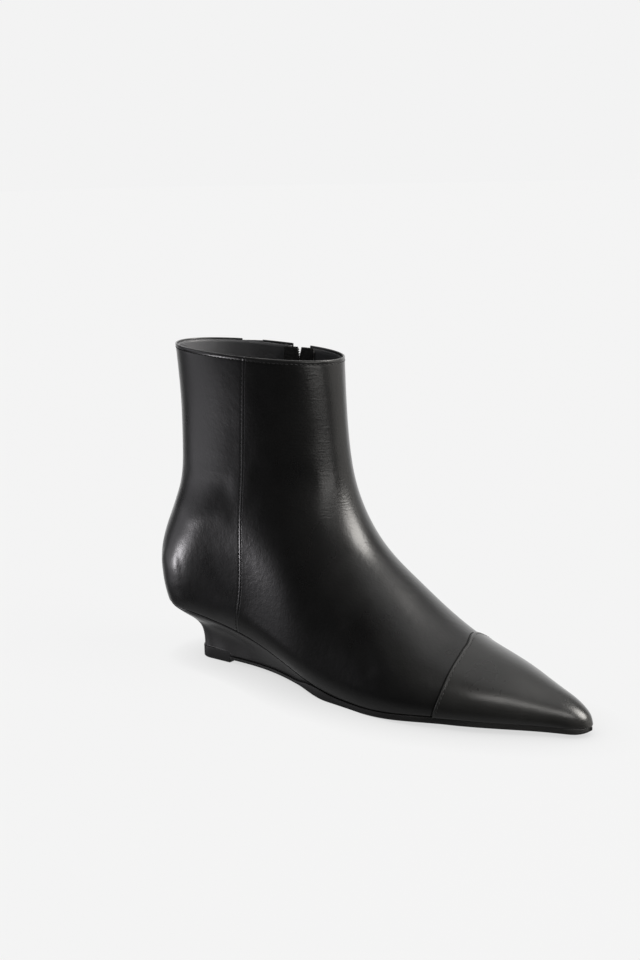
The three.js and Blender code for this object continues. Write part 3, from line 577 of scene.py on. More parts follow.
def panel(name, levels, strips, folds, channels, keep_gap=None):
    """Leather panel over the last. strips are the columns' turns and distances from the panel's two edges;
    folds give how strongly each of a strip's edges is folded, by row, and channels whether a stitched
    channel runs beside each edge."""
    turns = np.concatenate([strip[0] for strip in strips], 1)
    drops, reliefs = [], []
    for (_, near, far), (start, end), (near_row, far_row) in zip(strips, folds, channels):
        start, end = start[:, None], end[:, None]
        drops.append(np.maximum(fold_drop(near, start), fold_drop(far, end)))
        near_relief = edge_relief(near, SEAM_FORMS) * start * near_row
        reliefs.append(near_relief + edge_relief(far, SEAM_FORMS) * end * far_row)
    drop = np.concatenate(drops, 1)
    grid = levels[:, None] + 0 * turns
    points = last_point(grid, turns)
    normals = last_normal(grid, turns)
    side = np.where(turns % 1.0 < 0.5, -1, 1)
    x, z = points[..., 0], points[..., 2]
    from_collar = np.linalg.norm(points - points[-1:], axis=-1)
    from_feather = np.linalg.norm(points - points[:1], axis=-1)
    height = crease_height(x, z, side) + edge_relief(from_collar, COLLAR_FORMS) + np.concatenate(reliefs, 1)
    cap_edge = x - cap_line(z, points[..., 1] - centre(x))
    edge_drop = np.maximum.reduce([drop, fold_drop(from_collar), fold_drop(from_feather, FEATHER_FOLD)])
    outer = points + normals * (height - edge_drop)[..., None]
    inner = points + normals * (np.minimum(height, 0) * 0.5 - LEATHER + edge_drop)[..., None]
    rows, columns = turns.shape
    ids = np.arange(rows * columns).reshape(rows, columns)
    keep = np.ones((rows - 1, columns - 1), bool)
    if keep_gap is not None:
        at, open_rows = keep_gap
        keep[:, at] = False
        ids[~open_rows, at + 1] = ids[~open_rows, at]
    # Edges lighter in colour: rubbed wear, and painted highlight on the rounded rims and folds
    low_edge = bell(from_feather - FEATHER_RUB_AND_SHEEN_AT, FEATHER_RUB_AND_SHEEN)
    edge = np.maximum.reduce([bell(from_collar, COLLAR_RUB_AND_SHEEN), 0.5 * drop / FOLD, low_edge])
    wrinkle = bell(path_distance(x, z, WRINKLE_PATH)[0], WRINKLE_REACH)
    # The last mask places the painted shade behind the toe cap's back edge
    masks = {"edge": edge, "wrinkle": wrinkle * (side < 0), "cap_painted_shade_offset": (cap_edge + CAP_SHADOW) * MM}
    return shell_object(name, outer, inner, ids, keep, masks)


def cap_line(z, across):
    """Place along the foot of the toe cap's back edge, bowed, and running back over the ridge to the
    medial side. across is the distance from the centre line, plus on the medial side."""
    ahead = cap_edge_ahead(np.clip(z, CAP_EDGE[0][0], CAP_EDGE[-1][0]))
    over = smooth((across - CAP_SLANT_START) / (CAP_SLANT_END - CAP_SLANT_START))
    return FOOT_LENGTH - CAP_LENGTH + ahead - CAP_SLANT * over


falling = ridge_samples[::-1]


def ridge_height(x):
    return np.interp(x, falling[:, 0], falling[:, 1])


LEVELS = level_rows()
row_side = line_turns(LEVELS, side_seam_x, -1)
row_zip_front = line_turns(LEVELS, lambda z: zip_x(z) + np.maximum(slot_half(z), SEAM_HALF), 1)
row_zip_back = line_turns(LEVELS, lambda z: zip_x(z) - np.maximum(slot_half(z), SEAM_HALF), 1)
GORE_APEX = SLOT_TOP - GORE_LENGTH


def gore_half(z):
    return np.maximum(z - GORE_APEX, 0) * GORE_WIDTH / 2 / GORE_LENGTH


row_gore_front = line_turns(LEVELS, lambda z: GORE_ALONG + gore_half(z), 1)
row_gore_back = line_turns(LEVELS, lambda z: GORE_ALONG - gore_half(z), 1)
gore_open = row_gore_back - row_gore_front > 1e-4
row_gore_back = np.where(gore_open, row_gore_back, row_gore_front)
full_fold = np.ones(len(LEVELS))
fine_fold = 0.55 * full_fold
gore_heights = last_point(LEVELS, row_gore_front)[:, 2]
gore_fold = smooth((gore_heights - GORE_APEX) / 4.0)


def make_vamp():
    strip = strip_turns(LEVELS, row_side, row_zip_front, 190)
    return panel("vamp", LEVELS, [strip], [(fine_fold, full_fold)], [(0, 1)])


def make_quarter():
    zip_to_gore = strip_turns(LEVELS, row_zip_back, row_gore_front, 34)
    gore_to_side = strip_turns(LEVELS, row_gore_back, row_side + 1.0, 78)
    folds = [(full_fold, gore_fold), (gore_fold, fine_fold)]
    at = zip_to_gore[0].shape[1] - 1
    return panel("quarter", LEVELS, [zip_to_gore, gore_to_side], folds, [(1, 1), (1, 2)], (at, gore_open))


LINING_ROWS, LINING_COLUMNS = 110, 170
LINING_TOP = 0.994
LINING_SEAM, LINING_SEAM_HALF = 0.28, 0.5
LINING_SPREAD, LINING_FOLD, LINING_SAG = 0.6, 0.3, 0.12
BACK_SEAM_AHEAD = 9.0


def make_lining():
    """Lining inside both leather panels, split along the zip and closed by a seam under it."""
    levels = np.linspace(0, 1, LINING_ROWS) * LINING_TOP

    def edge(sign):
        return lambda z: zip_x(z) + sign * np.where(z > SLOT_BOTTOM, slot_half(z) + LINING_SPREAD, SEAM_HALF)

    front = line_turns(levels, edge(1), 1)
    back = line_turns(levels, edge(-1), 1)
    turns, near, far = strip_turns(levels, back - 1.0, front, LINING_COLUMNS)
    grid = levels[:, None] + 0 * turns
    points, normals = last_point(grid, turns), last_normal(grid, turns)
    drop = LINING_FOLD * fold_drop(np.minimum(near, far), radius=LINING_FOLD)
    seam = np.zeros(turns.shape)
    x, z = points[..., 0], points[..., 2]
    back_seam = back_x(z) + BACK_SEAM_AHEAD
    for seam_x, on_side in ((side_seam_x(z), turns % 1.0 < 0.5), (back_seam, True)):
        seam += np.where(on_side, LINING_SEAM * bell(x - seam_x, LINING_SEAM_HALF), 0)
    sag = LINING_SAG * np.sin(x * 0.35 + 1.3 * np.sin(z * 0.11)) * (levels[:, None] > 0.5)
    outer = points - normals * (LINING_NEAR + drop)[..., None]
    inner = points - normals * (LINING_FAR - seam * 0.6 + 0.5 * sag)[..., None]
    return shell_object("lining", outer, inner)


CAP_STEPS = (0, 0.1, 0.25, 0.45, 0.7, 1.0, 1.4, 1.9, 2.4, 3.0, 3.8)
CAP_ROWS, CAP_COLUMNS = 92, 150
CAP_HALF_GUESS = 20.0
CAP_PACE, CAP_ROUNDS = 0.6, 10
CAP_TIP_GAP = 0.02
CAP_BACK_FOLD, CAP_FEATHER_FOLD = 1.6, 0.42
CAP_BITE = 0.15
FAR_FROM_EDGE = 9.0


def cap_section(angle, side, height_guess, rounds, place, rise=0.0):
    """Side-view line round the cap, from one feather edge over the ridge to the other. place gives its
    place along the foot from that of the cap's back edge."""
    z = np.full(len(angle), height_guess)
    across = CAP_HALF_GUESS * side
    for _ in range(rounds):
        x = place(cap_line(z, across))
        low, high = feather(x) + rise, ridge_height(x)
        z = low + (high - low) * np.sin(angle)
        across = lerp(across, side * half_breadth(x, z, side), CAP_PACE)
    return np.stack([x, z])


def make_toe_cap():
    """Toe cap: sections from the cut back edge to the tip, each from the lateral feather over the ridge."""
    share = np.sin(np.linspace(0, 1, CAP_ROWS) * np.pi / 2)[1:-1]
    angle = np.linspace(0, np.pi, CAP_COLUMNS)
    flank = np.where(angle < np.pi / 2, -1.0, 1.0)
    tip = FOOT_LENGTH - CAP_TIP_GAP
    guess = ridge_height(FOOT_LENGTH - CAP_LENGTH) / 2
    places = [lambda line, step=step: np.minimum(line + step, tip) for step in CAP_STEPS]
    start = CAP_STEPS[-1]
    places += [lambda line, part=part: np.minimum(lerp(line + start, tip, part), tip) for part in share]
    sections = [cap_section(angle, flank, guess, CAP_ROUNDS, place) for place in places]
    x, z = np.array(sections).transpose(1, 0, 2)
    points = flat_point(x, z, flank[None] + 0 * x)
    along = np.gradient(points, axis=0)
    across = np.gradient(points, axis=1)
    normals = unit(np.cross(along, across))
    from_back = np.concatenate([CAP_STEPS, np.full(len(share), FAR_FROM_EDGE)])[:, None] + 0 * x
    from_feather = np.minimum(z - feather(x), FAR_FROM_EDGE)
    low_drop = fold_drop(np.maximum(from_feather, 0), 1.0, CAP_FEATHER_FOLD)
    drop = np.maximum(fold_drop(from_back, CAP_BACK_FOLD, CAP_FOLD), low_drop)
    relief = edge_relief(from_back, CAP_FORMS)
    lift = CAP_LIFT + CAP_LEATHER - CAP_TIP_THIN * smooth((x - FOOT_LENGTH + CAP_TIP_LENGTH) / CAP_TIP_LENGTH)
    outer = points + normals * (lift + relief - drop)[..., None]
    inner = points + normals * (CAP_LIFT - CAP_BITE + 0.6 * drop)[..., None]
    # Edges lighter in colour: rubbed wear, and painted highlight on the rounded rims
    edge = np.maximum(bell(from_back, CAP_RUB_AND_SHEEN), 0.4 * bell(from_feather, CAP_RUB_AND_SHEEN))
    # The cap itself lies outside the painted shade behind its edge
    masks = {"edge": edge, "wrinkle": 0 * edge, "cap_painted_shade_offset": 1 + 0 * edge}
    return shell_object("toe_cap_leather", outer, inner, attributes=masks)


def tread_height(x):
    lifted = WAIST_LIFT * (1 - smooth((x / FOOT_LENGTH - LIFT_END) / (FLAT_START - LIFT_END)))
    return np.where(x < FLAT_START * FOOT_LENGTH, lifted, spring(x))


def feather_half(x, side):
    return half_breadth(x, feather(x), side)


def sole_top(x):
    """Upper face of the sole: under the wedge, and rising to the feather edge at the wedge's front."""
    front = smooth((x - WEDGE_FRONT_X + WEDGE_TAPER) / WEDGE_TAPER)
    full = feather(np.minimum(x, FOOT_LENGTH)) - 0.12
    return lerp(tread_height(x) + WAIST_SOLE, np.maximum(full, tread_height(x) + WAIST_SOLE), front)


def waist_width(x):
    return np.where(x < WAIST_END * FOOT_LENGTH, waist_share(x), 1.0)


BREAST_X = TOP_SETBACK + TOP_LENGTH
WEDGE_FRONT_X = WEDGE_FRONT * FOOT_LENGTH


def top_piece_half(x):
    return 0.5 * TOP_WIDTH * round_in((x - TOP_SETBACK) / TOP_ROUND)


def outline_ring(stations, half_width, height, blunt=False):
    """Ring with mirrored pairs of points at the stations and a middle point at each end."""
    sides = stations if blunt else stations[1:]

    def line(xs, sign):
        return from_centre(xs, sign * half_width(xs, sign), height(xs))

    ends = [from_centre(xs, 0, height(xs)) for xs in (stations[:1], stations[-1:])]
    return np.concatenate([ends[0], line(sides, -1), ends[1], line(sides, 1)[::-1]])


def stations_between(low, high, count, round_back=False):
    share = np.linspace(0, 1, count + 1)
    return lerp(low, high, 1 - np.cos(share * np.pi / 2) if round_back else share)


WEDGE_COLUMNS = 150
WEDGE_LEVELS = (0, 0.012, 0.03, 0.055, *np.linspace(0.09, 1, 44))
WEDGE_RIM = ((0.35, 0.05, 0.045), (-0.5, 0.0, 0.012))


def make_wedge():
    """Covered wedge: from the seat's outline down to the outlines of the top piece and the waist."""
    inward = column(WEDGE, 1)
    seat_back = float(back_x(HEEL_SEAT)) + WEDGE_INSET
    foot_back = TOP_SETBACK + TOP_PROUD
    shares = stations_between(0, 1, WEDGE_COLUMNS, True)
    seat_x = lerp(seat_back, WEDGE_FRONT_X, shares)
    foot_x = lerp(foot_back, WEDGE_FRONT_X, shares)
    flank = smooth((seat_x / FOOT_LENGTH - FLANK_START) / (FLANK_FULL - FLANK_START))
    inset = WEDGE_INSET * round_in((seat_x - seat_back) / SEAT_ROUND)
    into_waist = smooth((foot_x - BREAST_X + HEEL_TO_WAIST) / HEEL_TO_WAIST)
    heel = top_piece_half(foot_x - TOP_PROUD) - TOP_PROUD
    rows = []
    for down in WEDGE_LEVELS[::-1]:
        back = float(inward(down))
        move = lerp(back, lerp(down, back, FLANK_HOLLOW), flank)
        x = lerp(seat_x, foot_x, move)
        floor = sole_top(x) + GAP / 3
        z = lerp(np.maximum(feather(x) - FEATHER_GAP, floor + 0.02), floor, down)
        z = np.where(x < BREAST_X + TOP_BREAST, np.maximum(z, TOP_HEIGHT), z)
        rim = edge_relief(down, WEDGE_RIM)
        sides = []
        for sign in (-1, 1):
            seat_y = np.maximum(feather_half(seat_x, sign) - inset, 0)
            waist = waist_width(foot_x) * feather_half(foot_x, sign) - TOP_PROUD
            foot_y = np.maximum(lerp(heel, waist, into_waist), 0)
            half = np.maximum(lerp(seat_y, foot_y, move) + rim * (seat_y > 1), 0)
            sides.append(from_centre(x, sign * half, z)[1:])
        middle = from_centre(x, 0, z)
        rows.append(np.concatenate([middle[:1], sides[0], middle[-1:], sides[1][::-1]]))
    return ring_object("wedge_cover", rows)


SOLE_LEVELS = (  # share of the sole's thickness, way in from its edge, lift
    (0, 0.55, 0), (0, 0.3, 0.08), (0, 0.1, 0.25), (0, 0, 0.5), (1, 0, -0.45), (1, 0.08, -0.2),
    (1, 0.25, -0.05), (1, 0.5, 0),
)
TOP_LEVELS = (  # height, way in from the edge, setback of the breast
    (0, 0.7, 0.6), (0.12, 0.35, 0.3), (0.35, 0.1, 0.1), (0.7, 0, 0), (TOP_HEIGHT - 0.8, 0, 0),
    (TOP_HEIGHT - 0.3, 0.08, 0), (TOP_HEIGHT - 0.05, 0.35, 0),
)


TIP_AHEAD, LIP_MORE, CAP_LIP_RISE = 0.6, 0.25, 12


def make_outsole():
    back = BREAST_X + TOP_BREAST + GAP
    tip = FOOT_LENGTH + SOLE_LIP + TIP_AHEAD
    cap_start = FOOT_LENGTH - CAP_LENGTH
    stations = np.concatenate([
        stations_between(back, tip - TIP_ROUND, 150),
        tip - TIP_ROUND * (1 - np.sin(np.linspace(0, 1, 12) * np.pi / 2))[1:],
    ])

    def half(inset):
        def width(x, side):
            tip_round = round_in((tip - x) / TIP_ROUND)
            lip = (SOLE_LIP + LIP_MORE + CAP_LIP * smooth((x - cap_start) / CAP_LIP_RISE)) * tip_round
            base = waist_width(x) * feather_half(np.minimum(x, FOOT_LENGTH), side)
            return np.maximum(base + lip - inset * tip_round, 0)
        return width

    rings = []
    for share, inset, lift in SOLE_LEVELS:
        def height(x, share=share, lift=lift):
            into_tip = np.clip((x - tip + NIB_LENGTH) / NIB_LENGTH, 0, 1)
            nib = NIB_RISE * (1 - share) * (1 - np.sqrt(1 - into_tip**2))
            return lerp(tread_height(x) + nib, sole_top(x), share) + lift

        rings.append(outline_ring(stations, half(inset), height, True))
    return ring_object("outsole_rubber", rings)


def make_top_piece():
    rings = []
    for z, inset, bevel in TOP_LEVELS:
        front = BREAST_X + TOP_BREAST * smooth(z / WAIST_LIFT) - bevel * 0.3
        stations = stations_between(TOP_SETBACK + inset, front, 64, True)

        def half(x, side, inset=inset):
            return np.maximum(top_piece_half(x - inset) - inset, 0)

        rings.append(outline_ring(stations, half, lambda x, z=z: np.full(np.shape(x), z)))
    return ring_object("heel_tip", rings)


SOCK_BACK, SOCK_SIDE, SOCK_DISH, SOCK_LOW, SOCK_UNDER = 2.6, 0.25, 0.7, 0.5, 2.0


def make_sock():
    """Covered footbed, slightly dished and turned up against the lining."""
    low, high = float(back_x(HEEL_SEAT)) + SOCK_BACK, FOOT_LENGTH - INSOLE_TOE_ROOM
    xs = lerp(low, high, (1 - np.cos(np.linspace(0.02, 0.98, 130) * np.pi)) / 2)
    across = np.sin(np.linspace(-1, 1, 41) * np.pi / 2)
    x = xs[:, None] + 0 * across
    side = np.where(across < 0, -1.0, 1.0)[None] + 0 * x
    top = feather(x) + INSOLE
    half = half_breadth(x, top, side) - LINING_FAR - SOCK_SIDE
    aside = np.abs(across) * side * np.maximum(half, 0.5)
    dish = SOCK_DISH * (np.abs(across) ** 3)[None]
    upper = from_centre(x, aside, top + dish - SOCK_LOW)
    return shell_object("sock", upper, from_centre(x, aside, top - SOCK_UNDER))


def zip_frames(heights, lift=0.0):
    """Places on the zip's centre line with its directions: along the zip, outward, and forward."""
    centre_line, outward = skin(zip_x(heights), heights, 1, lift + 0 * heights)
    along = unit(np.gradient(centre_line, axis=0))
    forward = unit(np.cross(outward, along))
    return centre_line, along, outward, forward


def sweep(sections):
    """Points and faces of a tube through equal rings of points (rings, points, 3), closed at its ends."""
    layers, count = sections.shape[:2]
    ids = np.arange(layers * count).reshape(layers, count)
    quads = grid_quads(np.concatenate([ids, ids[:, :1]], 1)).reshape(-1, 4)
    return sections.reshape(-1, 3), quads, [ids[0][::-1], ids[-1]]


def oval(axis_u, axis_v, sides):
    """Unit ring of points in the plane of two axes, or one ring for each pair of axes."""
    angle = np.linspace(0, 2 * np.pi, sides, endpoint=False)[:, None]
    return np.cos(angle) * axis_u[..., None, :] + np.sin(angle) * axis_v[..., None, :]


def join_parts(name, parts):
    """One object from many small closed parts, given as points and lists of faces."""
    points, quads, others, start = [], [], [], 0
    for part_points, part_quads, part_others in parts:
        points.append(part_points)
        quads.append(np.asarray(part_quads) + start)
        others += [np.asarray(face)[None] + start for face in part_others]
        start += len(part_points)
    return build_object(name, np.concatenate(points), [np.concatenate(quads), *others])


def capsule(start, end, axis_u, axis_v, radius_u, radius_v, rings=7, sides=10):
    """Rounded bar between two points with an oval section, closed at both ends by small caps."""
    share = np.linspace(0, 1, rings)[:, None]
    bulge = np.sqrt(np.clip(1 - (2 * share - 1) ** 4, 0.02, 1))
    middle = lerp(start[None], end[None], share)
    ring = oval(axis_u * radius_u, axis_v * radius_v, sides)
    return sweep(middle[:, None] + ring * bulge[..., None])


# Zip: teeth, the open teeth above the slider, and the cords sewn over the closed teeth
TOOTH_PITCH = 1.3
TOOTH_DEPTH, TOOTH_OVER, TOOTH_RADII = 0.62, 0.75, (0.5, 0.6)
OPEN_DEPTH, OPEN_TUCK, OPEN_LENGTH, OPEN_RADII = 0.25, 0.5, 1.9, (0.42, 0.5)
OPEN_START, OPEN_END = 0.4, 2.4
CORD_DEPTH, CORD_ASIDE, CORD_RADIUS, CORD_STEPS = 0.35, 1.55, 0.36, 110


def make_chain():
    """Closed coil: two rows of teeth that meet in the middle, with the cords sewn over them."""
    low = SLOT_BOTTOM + SLOT_HALF * 0.6
    heights = np.arange(low, CHAIN_TOP, TOOTH_PITCH / 2)
    parts = []
    for i, (p, a, o, f) in enumerate(zip(*zip_frames(heights, -CHAIN_RECESS - TOOTH_DEPTH))):
        sign = 1 if i % 2 else -1
        parts.append(capsule(p + f * sign * (CHAIN_WIDTH / 2), p - f * sign * TOOTH_OVER, a, o, *TOOTH_RADII))
    heights = np.arange(CHAIN_TOP + OPEN_START, SLOT_TOP - OPEN_END, TOOTH_PITCH)
    for z, p, a, o, f in zip(heights, *zip_frames(heights, -TAPE_DEPTH + OPEN_DEPTH)):
        for sign in (-1, 1):
            start = p + f * sign * (tape_edge(z) - OPEN_TUCK)
            parts.append(capsule(start, start + f * sign * OPEN_LENGTH, a * sign, o, *OPEN_RADII))
    heights = np.linspace(low, CHAIN_TOP, CORD_STEPS)
    places, _, outward, forward = zip_frames(heights, -CHAIN_RECESS - CORD_DEPTH)
    for sign in (-1, 1):
        middle = places + forward * sign * CORD_ASIDE
        points, quads, caps = sweep(middle[:, None] + CORD_RADIUS * oval(forward, outward, 8))
        parts.append((points, quads[:, ::-1], [cap[::-1] for cap in caps]))
    return join_parts("zip_coil", parts)


TAPE_EDGE, TAPE_PARTING, TAPE_END = 0.25, 1.5, 1.6


def tape_edge(z):
    """How far each tape's edge lies from the zip's line: nearly closed, then parting above the slider."""
    return TAPE_EDGE + TAPE_PARTING * smooth((z - CHAIN_TOP) / (SLOT_TOP - CHAIN_TOP))


def make_tape(name, sign):
    heights = np.linspace(SLOT_BOTTOM - TAPE_WIDTH, SLOT_TOP - TAPE_END, 150)
    share = np.linspace(0, 1, 20)
    share = share if sign > 0 else share[::-1]
    offsets = sign * lerp(tape_edge(heights)[:, None], CHAIN_WIDTH / 2 + GAP + TAPE_WIDTH, share[None])
    x = zip_x(heights)[:, None] + offsets
    z = heights[:, None] + 0 * x
    inner, _ = skin(x, z, 1, -(TAPE_DEPTH + TAPE) + 0 * x)
    outer, _ = skin(x, z, 1, -TAPE_DEPTH + 0 * x)
    return shell_object(name, outer[:, ::-1], inner[:, ::-1])


GORE_RIB, GORE_RIB_HEIGHT = 0.95, 0.11
GORE_MARGIN, GORE_DROP = 0.5, 0.7


def make_gore():
    """Elastic triangle with fine upright ribs."""
    top = float(collar_height(GORE_ALONG)) - GORE_DROP
    heights = np.linspace(GORE_APEX + GORE_MARGIN, top, 90)
    across = np.linspace(1, -1, 84)
    half = (gore_half(heights) + GORE_MARGIN)[:, None]
    x = GORE_ALONG + half * across[None]
    z = heights[:, None] + 0 * x
    rib = GORE_RIB_HEIGHT * np.cos(2 * np.pi * (x - GORE_ALONG) / GORE_RIB)
    outer, _ = skin(x, z, 1, -GORE_RECESS - 0.1 + rib)
    inner, _ = skin(x, z, 1, -GORE_RECESS - GORE + 0 * x)
    return shell_object("gore_elastic", outer, inner)


# Stitches
STITCH = 1.9
STITCH_PITCH = 2.6
THREAD = 0.27
STITCH_SUNK = 0.02
ZIP_STITCH = 2.3
ZIP_STITCH_BELOW = 2.5
ZIP_STITCH_SUNK = 0.05
STITCH_DIP = 0.05
ZIP_STITCH_TOP = 3.0
SEAM_STITCH, SEAM_STITCH_LOW, SEAM_STITCH_TOP = 2.1, 24.0, 6.5
CAP_STITCH_RISE, CAP_STITCH_ENDS, CAP_STITCH_GUESS, CAP_STITCH_ROUNDS = 1.2, 0.02, 20.0, 12


def stitch_row(points, normals):
    """Stitches along a line of surface points, each a small rounded bar."""
    step = np.linalg.norm(np.diff(points, axis=0), axis=1)
    reach = np.concatenate([[0], np.cumsum(step)])
    starts = np.arange(STITCH_PITCH / 2, reach[-1] - STITCH, STITCH_PITCH)

    def at(distance, values):
        return np.array([np.interp(distance, reach, values[:, i]) for i in range(3)])

    parts = []
    for start in starts:
        normal = unit(at(start + STITCH / 2, normals))
        a = at(start, points) - normal * STITCH_DIP
        b = at(start + STITCH, points) - normal * STITCH_DIP
        across = unit(np.cross(b - a, normal))
        parts.append(capsule(a, b, across, normal, THREAD, THREAD, 7, 8))
    return parts


def side_line(line, low, high, side, lift, count=200):
    z = np.linspace(low, high, count)
    return skin(line(z), z, side, lift + 0 * z)


COLLAR_LEVELS = (0.97, 1)
RUN_MARGIN = 5


def make_collar_stitches():
    """Row of stitches under the collar, left out at the gore and the zip."""
    turns = np.linspace(float(row_zip_front[-1]), float(row_zip_back[-1]) - 1.0, 500)
    levels = np.linspace(*COLLAR_LEVELS, 40)
    lines = last_point(levels[:, None], turns[None])
    drop = np.linalg.norm(lines - lines[-1:], axis=-1)
    level = np.array([np.interp(-COLLAR_STITCH, -drop[:, i], levels) for i in range(len(turns))])
    near_gore = np.abs(lines[-1, :, 0] - GORE_ALONG) < GORE_WIDTH / 2 + 1.0
    keep = np.flatnonzero(~(near_gore & (lines[-1, :, 1] > 0)))
    points, normals = last_point(level, turns), last_normal(level, turns)
    sunk = points - STITCH_SUNK * normals
    parts = []
    for run in np.split(keep, np.flatnonzero(np.diff(keep) > 1) + 1):
        inner = run[RUN_MARGIN:1 - RUN_MARGIN]
        parts += stitch_row(sunk[inner], normals[inner])
    return join_parts("stitches_collar", parts)


def make_zip_stitches():
    """Row of stitches down both sides of the zip and across under its lower end."""
    low = SLOT_BOTTOM - ZIP_STITCH_BELOW
    parts = []
    for sign in (-1, 1):
        def line(z, sign=sign):
            return zip_x(z) + sign * (np.maximum(slot_half(z), SLOT_HALF) + ZIP_STITCH)

        parts += stitch_row(*side_line(line, low, SLOT_TOP - ZIP_STITCH_TOP, 1, -ZIP_STITCH_SUNK))
    reach = SLOT_HALF + ZIP_STITCH
    z = np.full(60, low)
    x = float(zip_x(SLOT_BOTTOM)) + np.linspace(-reach, reach, len(z))
    parts += stitch_row(*skin(x, z, 1, -ZIP_STITCH_SUNK))
    return join_parts("stitches_zip", parts)


def make_seam_stitches():
    top = COLLAR_BACK - SEAM_STITCH_TOP
    row = side_line(lambda z: side_seam_x(z) - SEAM_STITCH, SEAM_STITCH_LOW, top, -1, -STITCH_SUNK)
    return join_parts("stitches_side_seam", stitch_row(*row))


def make_cap_stitches():
    angle = np.linspace(CAP_STITCH_ENDS, np.pi - CAP_STITCH_ENDS, 300)
    side = np.where(angle < np.pi / 2, -1.0, 1.0)
    start = (CAP_STITCH_GUESS, CAP_STITCH_ROUNDS)
    x, z = cap_section(angle, side, *start, lambda line: line + CAP_STITCH, CAP_STITCH_RISE)
    points = flat_point(x, z, side)
    tangent = unit(np.gradient(points, axis=0))
    ahead = x + 0.4
    forward = unit(flat_point(ahead, np.minimum(z, ridge_height(ahead)), side) - points)
    normals = unit(np.cross(forward, tangent))
    lifted = points + normals * (CAP_LIFT + CAP_LEATHER)
    return join_parts("stitches_cap", stitch_row(lifted, normals))


# Materials
def new_material(name):
    material = bpy.data.materials.new(name)
    material.use_nodes = True
    tree = material.node_tree
    return material, tree, tree.nodes["Principled BSDF"]


def settle(tree, node, inputs):
    """Give a node its inputs; one that is a socket is linked."""
    for key, value in inputs.items():
        if isinstance(value, bpy.types.NodeSocket):
            tree.links.new(value, node.inputs[key])
        else:
            node.inputs[key].default_value = value


def add(tree, kind, inputs=None, **settings):
    """Node with its settings and inputs."""
    node = tree.nodes.new(kind)
    for key, value in settings.items():
        setattr(node, key, value)
    settle(tree, node, inputs or {})
    return node


def math_node(tree, operation, a, b=0.0, c=0.0, clamp=False):
    return add(tree, "ShaderNodeMath", {0: a, 1: b, 2: c}, operation=operation, use_clamp=clamp).outputs[0]


def remap(tree, value, low, high, to_low=0.0, to_high=1.0):
    inputs = {"Value": value, "From Min": low, "From Max": high, "To Min": to_low, "To Max": to_high}
    return add(tree, "ShaderNodeMapRange", inputs).outputs[0]


def mix_colors(tree, share, a, b):
    a, b = (value if isinstance(value, bpy.types.NodeSocket) else (*value, 1) for value in (a, b))
    return add(tree, "ShaderNodeMix", {"Factor": share, 6: a, 7: b}, data_type="RGBA").outputs[2]


def bump(tree, height, distance, strength, normal=None):
    inputs = {"Height": height, "Distance": distance, "Strength": strength}
    if normal:
        inputs["Normal"] = normal
    return add(tree, "ShaderNodeBump", inputs).outputs["Normal"]


def attribute(tree, name):
    return add(tree, "ShaderNodeAttribute", attribute_name=name).outputs["Fac"]


def brighter(color, factor, more):
    return tuple(min(1.0, part * factor + more) for part in color)


def noise(tree, place, scale, detail=2.0, roughness=0.5, stretch=None):
    if stretch:
        place = add(tree, "ShaderNodeMapping", {"Vector": place, "Scale": stretch}).outputs[0]
    inputs = {"Vector": place, "Scale": scale, "Detail": detail, "Roughness": roughness}
    return add(tree, "ShaderNodeTexNoise", inputs).outputs["Fac"]


# Scales of the leather's textures, per metre
GRAIN = 1 / 0.0011
PORES = 1 / (0.0011 * 1.6)
CLOUDS, STREAKS, SWELL, WRINKLES = 28.0, 60.0, 260.0, 200.0
WRINKLE_DEPTH = 0.0006
# Colour of the painted shade behind the toe cap's edge
CAP_PAINTED_SHADE_COLOR = (0.0008, 0.0008, 0.0008)


